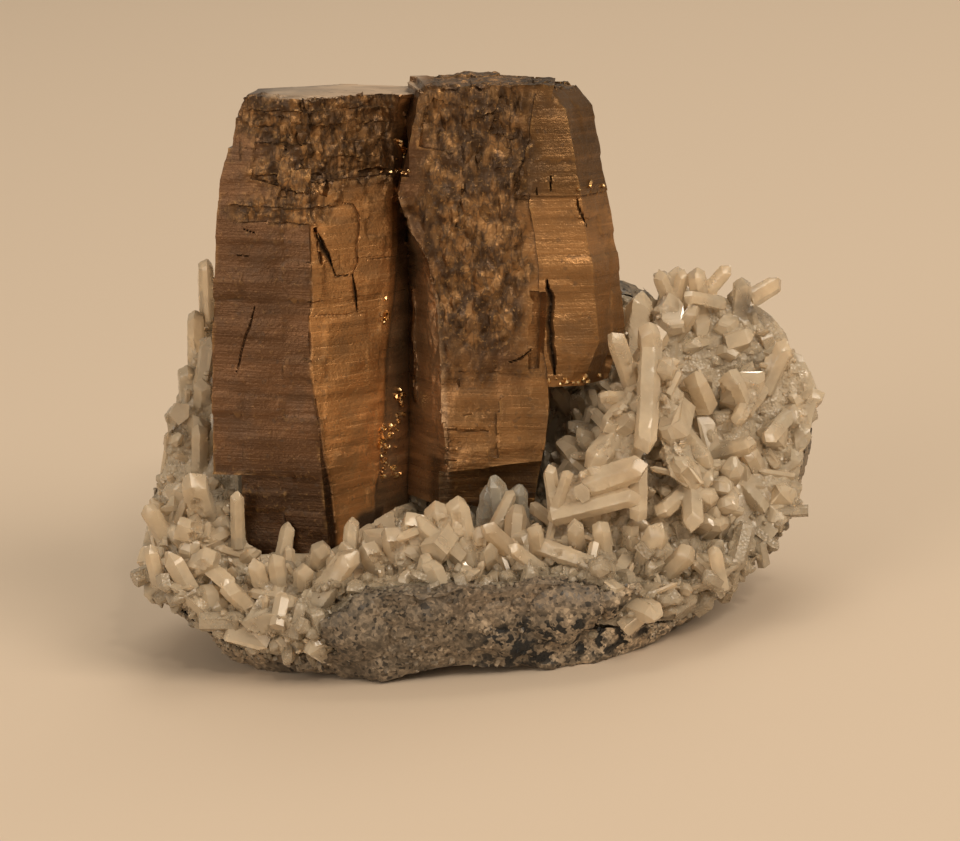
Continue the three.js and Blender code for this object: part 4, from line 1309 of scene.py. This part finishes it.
def bareFaces(piece, other, span):
    # faces at this distance from another piece that it doesn't cover
    low, high = span
    tree = surfaceTree(other)
    flags = []
    for face in piece.data.polygons:
        near = low < tree.find_nearest(face.center)[3] < high
        start = face.center + soilLimits["lift"] * face.normal
        flags.append(near and not tree.ray_cast(start, face.normal, soilLimits["cover"])[0])
    return flags


def rockSoil():
    # the bare front and right end of the rock
    bare = bareFaces(rockPiece, crustPiece, soilLimits["rock"])
    seen = [face.center.y < soilLimits["rockFront"] or face.center.x > soilLimits["rockRight"]
            for face in rockPiece.data.polygons]
    return soilOf(rockPiece, [a and b for a, b in zip(bare, seen)])


def goldSoil():
    # places where bright grains sit on the bronze, found from the front
    chance = random.Random(pyrrhotite["seed"])
    soil = []
    ahead = (leaningFrame().to_3x3() @ Vector((0, 1, 0))).normalized()
    for x, z, reach, count in goldSpots:
        for attempt in range(count):
            across = x + reach[0] * chance.uniform(-1, 1)
            spot = Vector((across, goldFrom, z + reach[1] * chance.uniform(-1, 1)))
            place, normal, face, distance = bronzeTree.ray_cast(leaningFrame() @ (mm * spot), ahead)
            if place:
                soil.append((place, normal, 1.0))
    return soil


def soilAt(places, ground=None):
    # spots around the given places, let down on the ground where there is one
    chance = random.Random(quartz["seed"])
    soil = []
    for spot in places:
        facing = Vector(spot["facing"]).normalized()
        across = facing.orthogonal().normalized()
        for attempt in range(spotsPerPlace):
            turned = Quaternion(facing, chance.uniform(0, fullTurn)) @ across
            place = mm * (Vector(spot["at"]) + turned * spot["reach"] * chance.random() ** 0.5)
            if ground:
                start = place + soilLimits["dropFrom"] * facing
                place = ground.ray_cast(start, -facing, soilLimits["drop"])[0]
            if place:
                soil.append((place, facing, 1.0))
    return soil


quartzFinish = quartzMaterial()
crustPiece, bedFlags = makeCrust()
crustPiece.data.materials.append(quartzFinish)
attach(crustPiece, "root")
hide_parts("quartz_crystals")
print("quartz crust", len(crustPiece.data.polygons), "faces")

bronzeTree, crustTree = surfaceTree(bronzePiece), surfaceTree(crustPiece)
crustSoil = soilOf(crustPiece, bedFlags)
edgeSoil = soilOf(crustPiece, bareFaces(crustPiece, rockPiece, soilLimits["edge"]))
edgeSoil = [spot for spot in edgeSoil if spot[0].z < soilLimits["edgeTop"]]
seamSoil = soilOf(rockPiece, bareFaces(rockPiece, crustPiece, soilLimits["seam"]))
clearSoil = soilAt(clearPlaces, crustTree)

for name, soil, crops, keepOff, finish, slot in (
        ("quartzNest", crustSoil, nestGrowth, bronzeTree, quartzFinish, "quartz"),
        ("quartzRim", crustSoil, rimGrowth, bronzeTree, quartzFinish, "quartz"),
        ("quartzEdge", edgeSoil, edgeGrowth, bronzeTree, quartzFinish, "quartz"),
        ("quartzFill", soilAt(thinPlaces), fillGrowth, bronzeTree, quartzFinish, "quartz"),
        ("quartzClear", clearSoil, clearGrowth, bronzeTree, clearMaterial(), "quartz"),
        ("quartzSeam", seamSoil, seamGrowth, bronzeTree, quartzFinish, "quartz"),
        ("rockGrains", rockSoil(), rockGrowth, bronzeTree, stoneFinish, "matrix"),
        ("bronzeGrains", goldSoil(), goldGrowth, None, goldMaterial(), "pyrrhotite")):
    grownPiece = growCrystals(name, soil, crops, keepOff)
    grownPiece.data.materials.append(finish)
    if name == "rockGrains":
        rockZones(grownPiece)
    dull = {"quartzEdge": soilLimits["edgeDull"], "quartzSeam": soilLimits["seamDull"]}.get(name)
    if dull:
        paintMask(grownPiece, "rim", np.full(len(grownPiece.data.vertices), dull))
    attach(grownPiece, "root")
    print(name, len(grownPiece.data.polygons), "faces")

thin(bronzePiece)
thin(crustPiece)
